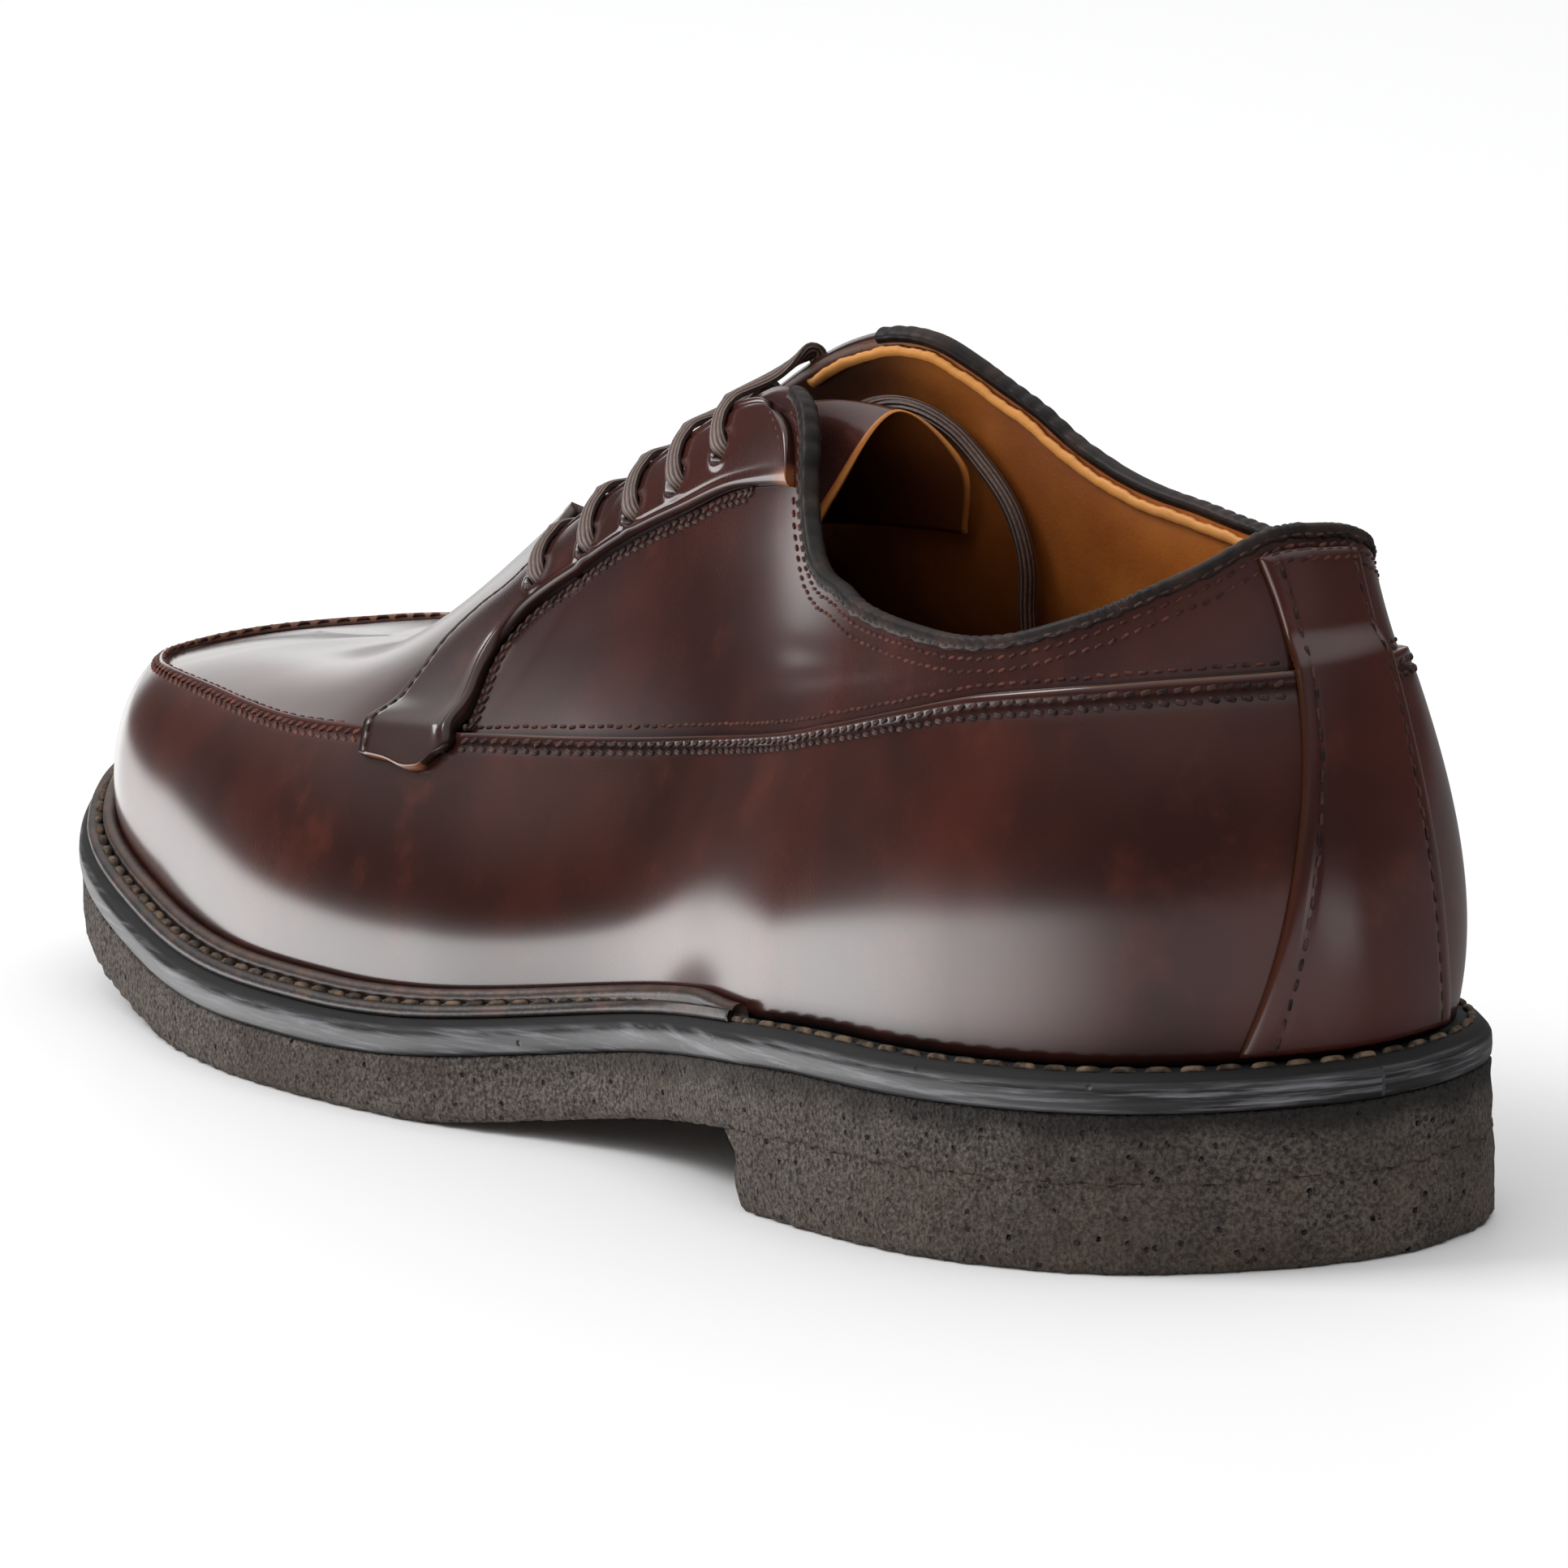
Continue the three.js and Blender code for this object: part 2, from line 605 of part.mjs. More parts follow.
function stormWelt() {
  const body = new Body();
  const weltSteps = 52;
  const rings = steps(weltSteps).map((share) => {
    const place = WELT_OUTER_END + (PLACES - WELT_INNER_END - WELT_OUTER_END) * share;
    const { point: foot, out } = feather(place);
    const rise = lastPoint(place, 1).distanceTo(foot);
    const raised = (point, lift) => point.clone().setZ(soleTop(point.y) + CLEARANCE + lift);
    const wall = (lift) => raised(skin(place, lift / rise, LAP_CLEARANCE), lift);
    const bead = (share, lift) => raised(wall(BEAD_HEIGHT).addScaledVector(out, BEAD_WIDTH * share), lift);
    const { point: rim } = outlinePoint(place, WELT_SETBACK);
    return [
      wall(0), raised(rim, 0), raised(rim, WELT_THICKNESS), bead(1, WELT_THICKNESS),
      bead(1, (BEAD_HEIGHT + WELT_THICKNESS) / 2), bead(BEAD_ROUND, BEAD_HEIGHT), wall(BEAD_HEIGHT),
      wall(BEAD_HEIGHT / 2),
    ];
  });
  body.rings(rings, false);
  body.cap(rings[0], false);
  body.cap(rings[rings.length - 1], true);
  return body.geometry();
}

// The upper: outer skin up to its top edge and lining down again, open below and at the throat
const WALL_HEIGHTS = [0, 0.12, 0.28, 0.45, 0.62, 0.78, 0.9, 0.975];
const CROWN_SHARES = [0, 0.12, 0.3, 0.5, 0.7, 0.86, 1];
const LINING_SHARES = [1, 0.75, 0.45, 0];
const LINING_HEIGHTS = [0.75, 0.5, 0.25, 0];

function upperShell() {
  const places = upperPlaces();
  const inner = -(GUARD_STEP + WALL);
  const rings = places.map((place) => {
    const top = edgeHeight(place);
    const crown = (share) => 1 + (top - 1) * share;
    return [
      ...WALL_HEIGHTS.map((height) => skin(place, height, 0)),
      skin(place, 1, 0),
      ...CROWN_SHARES.map((share) => skin(place, Math.max(crown(share), 1.004), -GUARD_STEP)),
      ...LINING_SHARES.map((share) => skin(place, crown(share), inner)),
      ...LINING_HEIGHTS.map((height) => skin(place, height, inner)),
    ];
  });
  // The feet of wall and lining end level on the sole
  for (const ring of rings) {
    ring[ring.length - 1].z = ring[0].z;
  }
  const rim = WALL_HEIGHTS.length + CROWN_SHARES.length;
  const onRidge = (i) => edgeHeight(places[i]) === 2 && edgeHeight(places[(i + 1) % places.length]) === 2;
  const body = new Body();
  body.rings(rings, true, (i, j) => j !== rim || !onRidge(i));
  return body.geometry();
}

function eyeletPin(place, height) {
  const reach = 9;
  const sides = 12;
  const pin = new THREE.CylinderGeometry(EYELET_DIAMETER / 2, EYELET_DIAMETER / 2, reach, sides);
  const turn = new THREE.Quaternion().setFromUnitVectors(new THREE.Vector3(0, 1, 0), lastNormal(place, height));
  pin.applyQuaternion(turn);
  pin.translate(...lastPoint(place, height).toArray());
  return pin;
}

function eyeletPlaces(side) {
  return EYELETS.map(({ place, outer, inner }) => (
    side > 0 ? belowRim(place, outer) : belowRim(PLACES - place, inner)
  ));
}

function punched(geometry, sides) {
  let body = solid(geometry);
  for (const side of sides) {
    for (const [place, height] of eyeletPlaces(side)) {
      body = body.subtract(solid(eyeletPin(place, height)));
    }
  }
  return meshed(body);
}

const OVERLAY_FOOT = LAP_CLEARANCE;
const OVERLAY_TOP = LAP_CLEARANCE + OVERLAY_THICKNESS;

// An overlay over a patch of the last; patch gives place and height for two shares
function overlay(patch, lengthSteps, widthSteps) {
  const level = (offset) => steps(lengthSteps).map((a) => steps(widthSteps).map((b) => {
    const [place, height] = patch(a, b);
    return skin(place, height, coverLevel(height) + offset);
  }));
  return shell(level(OVERLAY_TOP), level(OVERLAY_FOOT));
}

function facing(side) {
  const table = side > 0 ? OUTER_FACING : INNER_FACING;
  const mirrored = (place) => (side > 0 ? place : PLACES - place);
  return overlay((a, b) => {
    const row = a * (table.length - 1);
    const front = along(table, 'front', row);
    const lacing = belowRim(mirrored(front), FACING_SETBACK)[1];
    const frontHeight = Math.min(lacing, along(FACING_FRONT, 'height', row));
    const rear = along(table, 'rear', row);
    const rearHeight = along(table, 'rearHeight', row);
    const place = front + (rear - front) * b;
    const height = frontHeight + (rearHeight - frontHeight) * b;
    // The first row runs beside the binding instead
    const share = Math.max(1 - row, 0);
    const edge = table[0].front + (table[0].rear - table[0].front) * b;
    const beside = belowRim(mirrored(edge), BINDING_LEG + 2 * LAP_CLEARANCE);
    return [
      mirrored(place) + (beside[0] - mirrored(place)) * share,
      height + (beside[1] - height) * share,
    ];
  }, 22, 4);
}

function backStrap() {
  const low = STRAP[0].height;
  const high = STRAP[STRAP.length - 1].height;
  return overlay((a, b) => {
    const guess = low + (high - low) * a;
    const outer = along(STRAP, 'outer', guess, 'height');
    const inner = along(STRAP, 'inner', guess, 'height');
    const place = outer - (outer + inner) * b;
    const top = belowRim(place, BINDING_LEG + 2 * LAP_CLEARANCE)[1];
    return [place, low + (top - low) * a];
  }, 16, 7);
}

// Binding folded over the collar, from one throat corner round the heel to the other
function collarBinding() {
  const path = upperPlaces()
    .map((place) => (place > TOE ? place - PLACES : place))
    .filter((place) => place >= -INNER_CORNER && place <= OUTER_CORNER)
    .sort((a, b) => a - b);
  const outside = LAP_CLEARANCE - GUARD_STEP;
  const inside = -(GUARD_STEP + WALL + LAP_CLEARANCE);
  const [thick, lift] = [BINDING_THICKNESS, LAP_CLEARANCE];
  const body = new Body();
  const rings = path.map((place) => {
    const { point, normal, upward } = rim(place);
    const over = (up, offset) => point.clone().addScaledVector(upward, up).addScaledVector(normal, offset);
    const leg = (offset) => skin(...belowRim(place, BINDING_LEG), offset);
    return [
      leg(outside), leg(outside + thick), over(0, outside + thick),
      over(lift + thick, outside), over(lift + thick, inside), over(0, inside - thick),
      leg(inside - thick), leg(inside), over(lift, inside), over(lift, outside),
    ];
  });
  body.rings(rings, false);
  // Each end is closed over its own U shape
  for (const [ring, reversed] of [[rings[0], false], [rings[rings.length - 1], true]]) {
    const parts = [[0, 1, 2, 9], [2, 3, 4, 8, 9], [4, 5, 8], [5, 6, 7, 8]];
    for (const part of parts) {
      const corners = part.map((i) => ring[i]);
      if (reversed) corners.reverse();
      for (let i = 1; i < corners.length - 1; i += 1) body.triangle(corners[0], corners[i], corners[i + 1]);
    }
  }
  return body.geometry();
}

// Tongue: an arch under the throat, through an edge and a shoulder on each side and its middle
function tonguePoint(lengthShare, widthShare, depth) {
  const row = lengthShare * (TONGUE.length - 1);
  const column = (name) => along(TONGUE, name, row);
  const lining = GUARD_STEP + WALL + depth;
  const shoulderDepth = lining + column('gap');
  const places = [column('outer'), PLACES - column('inner')];
  const edges = places.map((place) => skin(place, column('edge'), -lining - TONGUE_GAP));
  const shoulders = places.map((place) => skin(place, column('shoulder'), -shoulderDepth));
  const middle = shoulders[0].clone().add(shoulders[1]).multiplyScalar(0.5);
  middle.z += column('arch');
  const curve = new THREE.CatmullRomCurve3([edges[0], shoulders[0], middle, shoulders[1], edges[1]]);
  return curve.getPoint(widthShare);
}

function tongue() {
  const grid = (depth) => steps(14).map((a) => steps(10).map((b) => tonguePoint(a, b, depth)));
  return shell(grid(0), grid(TONGUE_THICKNESS));
}

function tube(points, radius, count) {
  const section = new THREE.Shape(steps(8).slice(0, 8).map((share) => new THREE.Vector2(
    radius * Math.cos(2 * Math.PI * share),
    radius * Math.sin(2 * Math.PI * share),
  )));
  const path = new THREE.CatmullRomCurve3(points);
  return new THREE.ExtrudeGeometry(section, { steps: count, bevelEnabled: false, extrudePath: path });
}

// A bar of lace from an outer eyelet over the throat to the inner one
function laceBar(index) {
  const radius = LACE_DIAMETER / 2;
  const ends = [1, -1].map((side) => {
    const [place, height] = eyeletPlaces(side)[index];
    const level = coverLevel(height) + OVERLAY_TOP;
    const { place: row, outer, inner } = EYELETS[index];
    const over = (share, lift) => {
      const [edge, setback] = side > 0 ? [row, outer] : [PLACES - row, inner];
      return skin(...belowRim(edge, setback * share), level + lift);
    };
    return [
      skin(place, height, level - LACE_DIP),
      skin(place, height, level + radius),
      over(0.6, radius + 2 * CLEARANCE),
      over(0, radius + 3 * CLEARANCE),
    ];
  });
  const middle = ends[0][3].clone().add(ends[1][3]).multiplyScalar(0.5);
  middle.z += LACE_RISE;
  return tube([...ends[0], middle, ...ends[1].reverse()], radius, 15);
}

function laceEnd() {
  const points = LACE_END.map(([x, y, z]) => new THREE.Vector3(x, y, z));
  return tube(points, LACE_DIAMETER / 2, 26);
}

const shoe = new THREE.Group();
shoe.add(
  piece('outsole', outsole(), 'crepe'),
  piece('heel', heelBlock(), 'crepe'),
  piece('midsole', midsole(), 'midsole'),
  piece('storm_welt', stormWelt(), 'welt'),
  piece('insole', insole(), 'lining'),
  piece('upper', punched(upperShell(), [1, -1]), 'leather'),
  piece('facing_outer', punched(facing(1), [1]), 'overlay'),
  piece('facing_inner', punched(facing(-1), [-1]), 'overlay'),
  piece('back_strap', backStrap(), 'overlay'),
  piece('collar_binding', collarBinding(), 'binding'),
  piece('tongue', tongue(), 'lining'),
);
EYELETS.forEach((_, i) => shoe.add(piece(`lace_bar_${i + 1}`, laceBar(i), 'lace')));
shoe.add(piece('lace_end', laceEnd(), 'lace'));

export default shoe;
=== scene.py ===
"""Apron toe derby: the looks. Lengths in the shoe's own functions are millimetres, as on the last."""
import math
import bpy
import numpy as np
from mathutils import Matrix, Vector


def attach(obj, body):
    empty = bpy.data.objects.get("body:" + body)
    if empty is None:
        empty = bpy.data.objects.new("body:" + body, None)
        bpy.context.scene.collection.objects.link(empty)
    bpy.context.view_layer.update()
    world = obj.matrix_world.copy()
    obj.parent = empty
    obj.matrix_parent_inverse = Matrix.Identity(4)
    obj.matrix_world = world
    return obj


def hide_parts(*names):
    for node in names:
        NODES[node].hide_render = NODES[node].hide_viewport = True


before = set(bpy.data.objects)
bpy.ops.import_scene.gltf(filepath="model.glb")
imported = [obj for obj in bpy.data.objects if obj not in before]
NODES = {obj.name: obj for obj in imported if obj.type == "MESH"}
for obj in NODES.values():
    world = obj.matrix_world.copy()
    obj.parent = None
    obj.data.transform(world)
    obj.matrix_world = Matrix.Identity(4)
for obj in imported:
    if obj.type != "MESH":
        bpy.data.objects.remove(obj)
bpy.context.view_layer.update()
MM = 0.001


# Camera and lamps

def camera():
    """The photograph's angle to the shoe: azimuth, elevation and roll, from the distance fitted to it."""
    azimuth, elevation, roll = math.radians(-29.94), math.radians(10.49), math.radians(-2.565)
    distance, target = 1.885, Vector((0, 0, 0.05))
    back = Vector((math.sin(azimuth) * math.cos(elevation), -math.cos(azimuth) * math.cos(elevation),
                   math.sin(elevation)))
    level = Vector((math.cos(azimuth), math.sin(azimuth), 0))
    up = back.cross(level)
    right = level * math.cos(roll) + up * math.sin(roll)
    top = up * math.cos(roll) - level * math.sin(roll)
    made = bpy.data.cameras.new("camera")
    made.sensor_width = 36
    # The photograph's focal length in its pixels, and the width of the part of it that holds the one shoe
    focal_pixels, frame_pixels = 11884, 1356
    made.lens = made.sensor_width * focal_pixels / frame_pixels
    made.shift_x, made.shift_y = 0.0356, -0.0364
    made.clip_end = 20
    holder = bpy.data.objects.new("camera", made)
    bpy.context.scene.collection.objects.link(holder)
    axes = Matrix((right, top, back)).transposed().to_4x4()
    holder.matrix_world = Matrix.Translation(target + back * distance) @ axes
    bpy.context.scene.camera = holder


def area_light(name, place, target, size, power):
    """A rectangular lamp at a place in metres, turned towards its target."""
    made = bpy.data.lights.new(name, "AREA")
    made.shape = "RECTANGLE"
    made.size, made.size_y = size
    made.energy = power
    holder = bpy.data.objects.new(name, made)
    bpy.context.scene.collection.objects.link(holder)
    aim = Vector(target) - Vector(place)
    holder.matrix_world = Matrix.Translation(place) @ aim.to_track_quat("-Z", "Y").to_matrix().to_4x4()
    return holder


camera()


# Small helpers for shaders

def linear(text):
    """A hex sRGB colour as linear red, green, blue and alpha."""
    parts = [int(text[i:i + 2], 16) / 255 for i in (0, 2, 4)]
    return tuple(c / 12.92 if c <= 0.04045 else ((c + 0.055) / 1.055) ** 2.4 for c in parts) + (1.0,)


def material(name):
    made = bpy.data.materials.new(name)
    made.use_nodes = True
    tree = made.node_tree
    tree.nodes.clear()
    return made, tree


def node(tree, kind, props=None, **inputs):
    """Adds a node; each input is a value or another node's output, by the socket's name or _number."""
    made = tree.nodes.new(kind)
    for key, value in (props or {}).items():
        setattr(made, key, value)
    for key, value in inputs.items():
        socket = made.inputs[int(key[1:])] if key[0] == "_" else made.inputs[key.replace("_", " ")]
        if isinstance(value, bpy.types.NodeSocket):
            tree.links.new(value, socket)
        else:
            socket.default_value = value
    return made


def maths(tree, operation, a, b=0.0, clamp=False):
    return node(tree, "ShaderNodeMath", {"operation": operation, "use_clamp": clamp}, _0=a, _1=b).outputs[0]


def mixed(tree, share, a, b, blend="MIX"):
    made = node(tree, "ShaderNodeMix", {"data_type": "RGBA", "blend_type": blend}, _0=share, _6=a, _7=b)
    return made.outputs[2]


def noise(tree, where, scale, detail=2.0, roughness=0.5, stretch=None):
    """Noise in metres: scale is features to the metre, stretch squeezes them along each axis."""
    if stretch:
        where = node(tree, "ShaderNodeMapping", None, Vector=where, Scale=stretch).outputs[0]
    return node(tree, "ShaderNodeTexNoise", None, Vector=where, Scale=scale, Detail=detail,
                Roughness=roughness).outputs[0]


def steps_of(tree, value, low, high, to_low=0.0, to_high=1.0):
    """A smooth step from to_low to to_high while the value goes from low to high."""
    return node(tree, "ShaderNodeMapRange", {"interpolation_type": "SMOOTHSTEP"}, Value=value,
                _1=low, _2=high, _3=to_low, _4=to_high).outputs[0]


def attribute(tree, name):
    return node(tree, "ShaderNodeAttribute", {"attribute_name": name}).outputs["Fac"]


def coords(tree, which="Object"):
    return node(tree, "ShaderNodeTexCoord").outputs[which]


def bump(tree, height, depth_mm, onto=None):
    made = node(tree, "ShaderNodeBump", None, Height=height, Distance=depth_mm * MM, Strength=1.0)
    if onto is not None:
        tree.links.new(onto, made.inputs["Normal"])
    return made.outputs[0]


def surface(tree, **inputs):
    shader = node(tree, "ShaderNodeBsdfPrincipled", None, **inputs)
    node(tree, "ShaderNodeOutputMaterial", None, Surface=shader.outputs[0])
    return shader


# Materials

def polished_leather(name, dark, main, light, grain, base_rough, coat):
    """Polished smooth calf leather: cloudy reddish brown with faint pores. The shade attribute darkens it and takes its
    gloss: painted shade in the seam's groove, low against the sole and in the punched holes, and ink on cut
    edges. Raw shows the pale matt cut edge."""
    made, tree = material(name)
    at = coords(tree)
    cloud = noise(tree, at, 22, 3, 0.6)
    patch = noise(tree, at, 75, 4, 0.6)
    colour = mixed(tree, steps_of(tree, cloud, 0.35, 0.68), linear(dark), linear(main))
    colour = mixed(tree, steps_of(tree, patch, 0.52, 0.78, 0.0, 0.5), colour, linear(light))
    # Shade attribute: painted shade in grooves, holes and low corners, and ink on cut edges
    colour = mixed(tree, attribute(tree, "shade"), colour, linear("150B09"))
    colour = mixed(tree, attribute(tree, "raw"), colour, linear("A8683A"))
    pores = noise(tree, at, 1500, 2, 0.6)
    folds = noise(tree, at, 140, 4, 0.6)
    fine = bump(tree, pores, grain)
    normal = bump(tree, folds, 0.07, fine)
    rough = maths(tree, "ADD", base_rough, maths(tree, "MULTIPLY", noise(tree, at, 120, 3), 0.12))
    rough = maths(tree, "ADD", rough, maths(tree, "MULTIPLY", attribute(tree, "raw"), 0.35))
    gloss_left = maths(tree, "MULTIPLY", maths(tree, "SUBTRACT", 1.0, attribute(tree, "shade"), True), coat)
    surface(tree, Base_Color=colour, Roughness=rough, Normal=normal, Coat_Weight=gloss_left,
            Coat_Roughness=0.165, Coat_IOR=1.6, Specular_IOR_Level=0.04)
    return made


def lining_leather(name, dark, light):
    """Smooth vegetable tanned lining leather: matt, with soft stains and fine pores, pale where it is cut. The shade
    attribute paints shade on it, dark brown.
    """
    made, tree = material(name)
    at = coords(tree)
    colour = mixed(tree, steps_of(tree, noise(tree, at, 30, 4, 0.6), 0.35, 0.7), linear(dark), linear(light))
    # Painted shade, dark brown, by the shade attribute
    colour = mixed(tree, attribute(tree, "shade"), colour, linear("2A120A"))
    colour = mixed(tree, attribute(tree, "raw"), colour, linear("D9944C"))
    normal = bump(tree, noise(tree, at, 1300, 3, 0.6), 0.05, bump(tree, noise(tree, at, 180, 4), 0.08))
    surface(tree, Base_Color=colour, Roughness=0.48, Normal=normal, Specular_IOR_Level=0.4)
    return made


def binding_leather():
    """Thin folded binding leather: near black brown with a waxed edge."""
    made, tree = material("binding_leather")
    at = coords(tree)
    colour = mixed(tree, steps_of(tree, noise(tree, at, 160, 4, 0.6), 0.4, 0.75), linear("120C0A"),
                   linear("33231D"))
    normal = bump(tree, noise(tree, at, 900, 3, 0.6), 0.05, bump(tree, noise(tree, at, 300, 3), 0.1))
    surface(tree, Base_Color=colour, Roughness=0.5, Normal=normal, Specular_IOR_Level=0.22)
    return made


def crepe_rubber():
    """Crepe rubber: grey brown crumb under a millimetre wide, with patches and pits. The shade attribute inks its
    top edge dark and paints shade on it towards the heel, and wear scuffs it tan."""
    made, tree = material("crepe_rubber")
    at = coords(tree)
    crumb = noise(tree, at, 1500, 3, 0.7)
    cells = node(tree, "ShaderNodeTexVoronoi", None, Vector=at, Scale=1500.0).outputs[0]
    specks = node(tree, "ShaderNodeTexVoronoi", None, Vector=at, Scale=520.0).outputs[0]
    colour = mixed(tree, steps_of(tree, crumb, 0.33, 0.68), linear("38322E"), linear("857B73"))
    colour = mixed(tree, steps_of(tree, noise(tree, at, 40, 3, 0.6), 0.4, 0.7, 0.0, 0.55), colour,
                   linear("4A3C33"))
    colour = mixed(tree, steps_of(tree, specks, 0.02, 0.2, 0.9, 0.0), colour, linear("161311"))
    # Shade attribute: edge ink on top, and painted shade towards the heel
    colour = mixed(tree, attribute(tree, "shade"), colour, linear("1C1918"))
    colour = mixed(tree, attribute(tree, "wear"), colour, linear("80664C"))
    height = maths(tree, "ADD", crumb, maths(tree, "MULTIPLY", cells, 0.7))
    pits = steps_of(tree, specks, 0.0, 0.26, 0.0, 1.0)
    normal = bump(tree, height, 0.9, bump(tree, pits, 0.9, bump(tree, noise(tree, at, 260, 3), 0.6)))
    surface(tree, Base_Color=colour, Roughness=0.8, Normal=normal, Specular_IOR_Level=0.35)
    return made


def edge_dressing():
    """Midsole edge dressed black: glossy, with small nicks and grey streaks along it: brush marks, painted
    lighter to stand partly for the glossy edge's streaky sheen.
    """
    made, tree = material("edge_dressing")
    at = coords(tree)
    along = coords(tree, "UV")
    streak = noise(tree, along, 1.0, 4, 0.65, (60, 900, 1))
    smear = noise(tree, along, 1.0, 3, 0.6, (22, 260, 1))
    nicks = node(tree, "ShaderNodeTexVoronoi", None, Vector=at, Scale=210.0).outputs[0]
    # Grey streaks and smears: brush marks, and partly a painted sheen of the glossy edge
    colour = mixed(tree, steps_of(tree, streak, 0.45, 0.7, 0.0, 0.85), linear("151416"), linear("7E7D82"))
    colour = mixed(tree, steps_of(tree, smear, 0.5, 0.75, 0.0, 0.5), colour, linear("4B4A4E"))
    colour = mixed(tree, steps_of(tree, nicks, 0.0, 0.09, 0.8, 0.0), colour, linear("0A0909"))
    colour = mixed(tree, attribute(tree, "shade"), colour, linear("070606"))
    normal = bump(tree, streak, 0.06, bump(tree, steps_of(tree, nicks, 0.0, 0.12), 0.2))
    rough = maths(tree, "ADD", 0.3, maths(tree, "MULTIPLY", streak, 0.25))
    rough = maths(tree, "ADD", rough, maths(tree, "MULTIPLY", attribute(tree, "shade"), 0.35))
    surface(tree, Base_Color=colour, Roughness=rough, Normal=normal, Specular_IOR_Level=0.45)
    return made


def welt_leather():
    """Storm welt leather: waxed dark brown, rubbed tan on its bead. The shade attribute paints shade in its
    groove and underneath.
    """
    made, tree = material("welt_leather")
    at = coords(tree)
    colour = mixed(tree, steps_of(tree, noise(tree, at, 240, 4, 0.65), 0.4, 0.72), linear("1D1412"),
                   linear("4A2E22"))
    # Painted shade by the shade attribute
    colour = mixed(tree, attribute(tree, "shade"), colour, linear("0F0A09"))
    colour = mixed(tree, maths(tree, "MULTIPLY", attribute(tree, "wear"), noise(tree, at, 300, 3), True),
                   colour, linear("6A4632"))
    normal = bump(tree, noise(tree, at, 1000, 3, 0.6), 0.1, bump(tree, noise(tree, at, 300, 3), 0.15))
    surface(tree, Base_Color=colour, Roughness=0.46, Normal=normal, Coat_Weight=0.15, Coat_Roughness=0.3)
    return made


def thread(name, dark, light, rough):
    """Waxed linen thread, with its twist as fine bands."""
    made, tree = material(name)
    at = coords(tree)
    colour = mixed(tree, steps_of(tree, noise(tree, at, 420, 3, 0.6), 0.35, 0.7), linear(dark), linear(light))
    twist = noise(tree, at, 2300, 2, 0.5)
    surface(tree, Base_Color=colour, Roughness=rough, Normal=bump(tree, twist, 0.08), Specular_IOR_Level=0.2)
    return made


def lace_cotton():
    """Waxed cotton lace: brown, with fine ribs along it and a woven cross texture."""
    made, tree = material("waxed_cotton")
    along = coords(tree, "UV")
    ribs = node(tree, "ShaderNodeTexWave", {"wave_type": "BANDS", "bands_direction": "X"}, Vector=along,
                Scale=3.4, Distortion=0.6).outputs["Fac"]
    weave = noise(tree, along, 1.0, 2, 0.5, (24, 1900, 1))
    # The ribs' colour follows their bump: painted shade in the grooves and painted highlight on the crests
    colour = mixed(tree, steps_of(tree, ribs, 0.1, 0.8), linear("2A1C18"), linear("765C50"))
    colour = mixed(tree, steps_of(tree, weave, 0.35, 0.7, 0.0, 0.4), colour, linear("2B1C18"))
    normal = bump(tree, ribs, 0.16, bump(tree, weave, 0.06))
    surface(tree, Base_Color=colour, Roughness=0.5, Normal=normal, Coat_Weight=0.1, Coat_Roughness=0.35)
    return made


def plain(name, colour, rough):
    made, tree = material(name)
    surface(tree, Base_Color=linear(colour), Roughness=rough)
    return made


LEATHER = polished_leather("polished_calf", "2D130E", "471E16", "5C2A1D", 0.03, 0.4, 0.95)
QUARTER = polished_leather("polished_quarter", "2D1512", "431F1A", "552B23", 0.05, 0.42, 0.9)
STRIP = polished_leather("polished_strips", "2C1410", "441E18", "582B20", 0.05, 0.4, 0.9)
LINING = lining_leather("lining_leather", "9C5219", "C4732A")
# The insole: the lining leather painted darker, as painted shade deep inside the shoe
SHADED_INSOLE = lining_leather("insole_leather_in_shade", "3A1C0C", "5C3214")
BINDING = binding_leather()
CREPE = crepe_rubber()
EDGE = edge_dressing()
WELT = welt_leather()
SEAM_THREAD = thread("seam_thread", "1C1210", "4A332D", 0.5)
RED_THREAD = thread("upper_thread", "2A1512", "5C3328", 0.6)
TOE_THREAD = thread("toe_thread", "3A1C17", "6B3B2D", 0.5)
WELT_THREAD = thread("welt_thread", "2E251F", "75624F", 0.7)
LACE = lace_cotton()

# Sizes of the last and the sole
SOLE_LENGTH = 302
HALF_BALL = 52
HEEL_STACK, BALL_STACK, TOE_SPRING = 21.3, 8.3, 16
MIDSOLE, CREPE_SHEET, CREPE_INSET = 5.2, 9.4, 0.3
HEEL_LENGTH = 81.5
REACH_HEEL, REACH_BALL = 4.6, 6.4
LAST_HEIGHT = 85.5
WALL, GUARD_STEP = 1.8, 1.2
STRIP_THICKNESS = 1.45
PLACES, TOE = 20, 10
RIDGE_START, THROAT_END = 5, 5.95
WELT_START, WELT_END = 3.2, 16.6
HEEL_FRONT = -SOLE_LENGTH / 2 + HEEL_LENGTH
UP = np.array([0, 0, 1.0])

# Outline from the heel round the outer side to the toe and back: along, side
OUTLINE = np.array([
    (0.000, 0.144), (0.040, -0.423), (0.120, -0.717), (0.250, -0.817), (0.400, -0.731),
    (0.540, -0.942), (0.680, -1.008), (0.810, -0.885), (0.920, -0.687), (0.980, -0.388),
    (1.000, 0.044), (0.975, 0.500), (0.910, 0.788), (0.800, 0.971), (0.700, 1.006),
    (0.580, 0.827), (0.430, 0.615), (0.270, 0.683), (0.120, 0.760), (0.033, 0.592)])
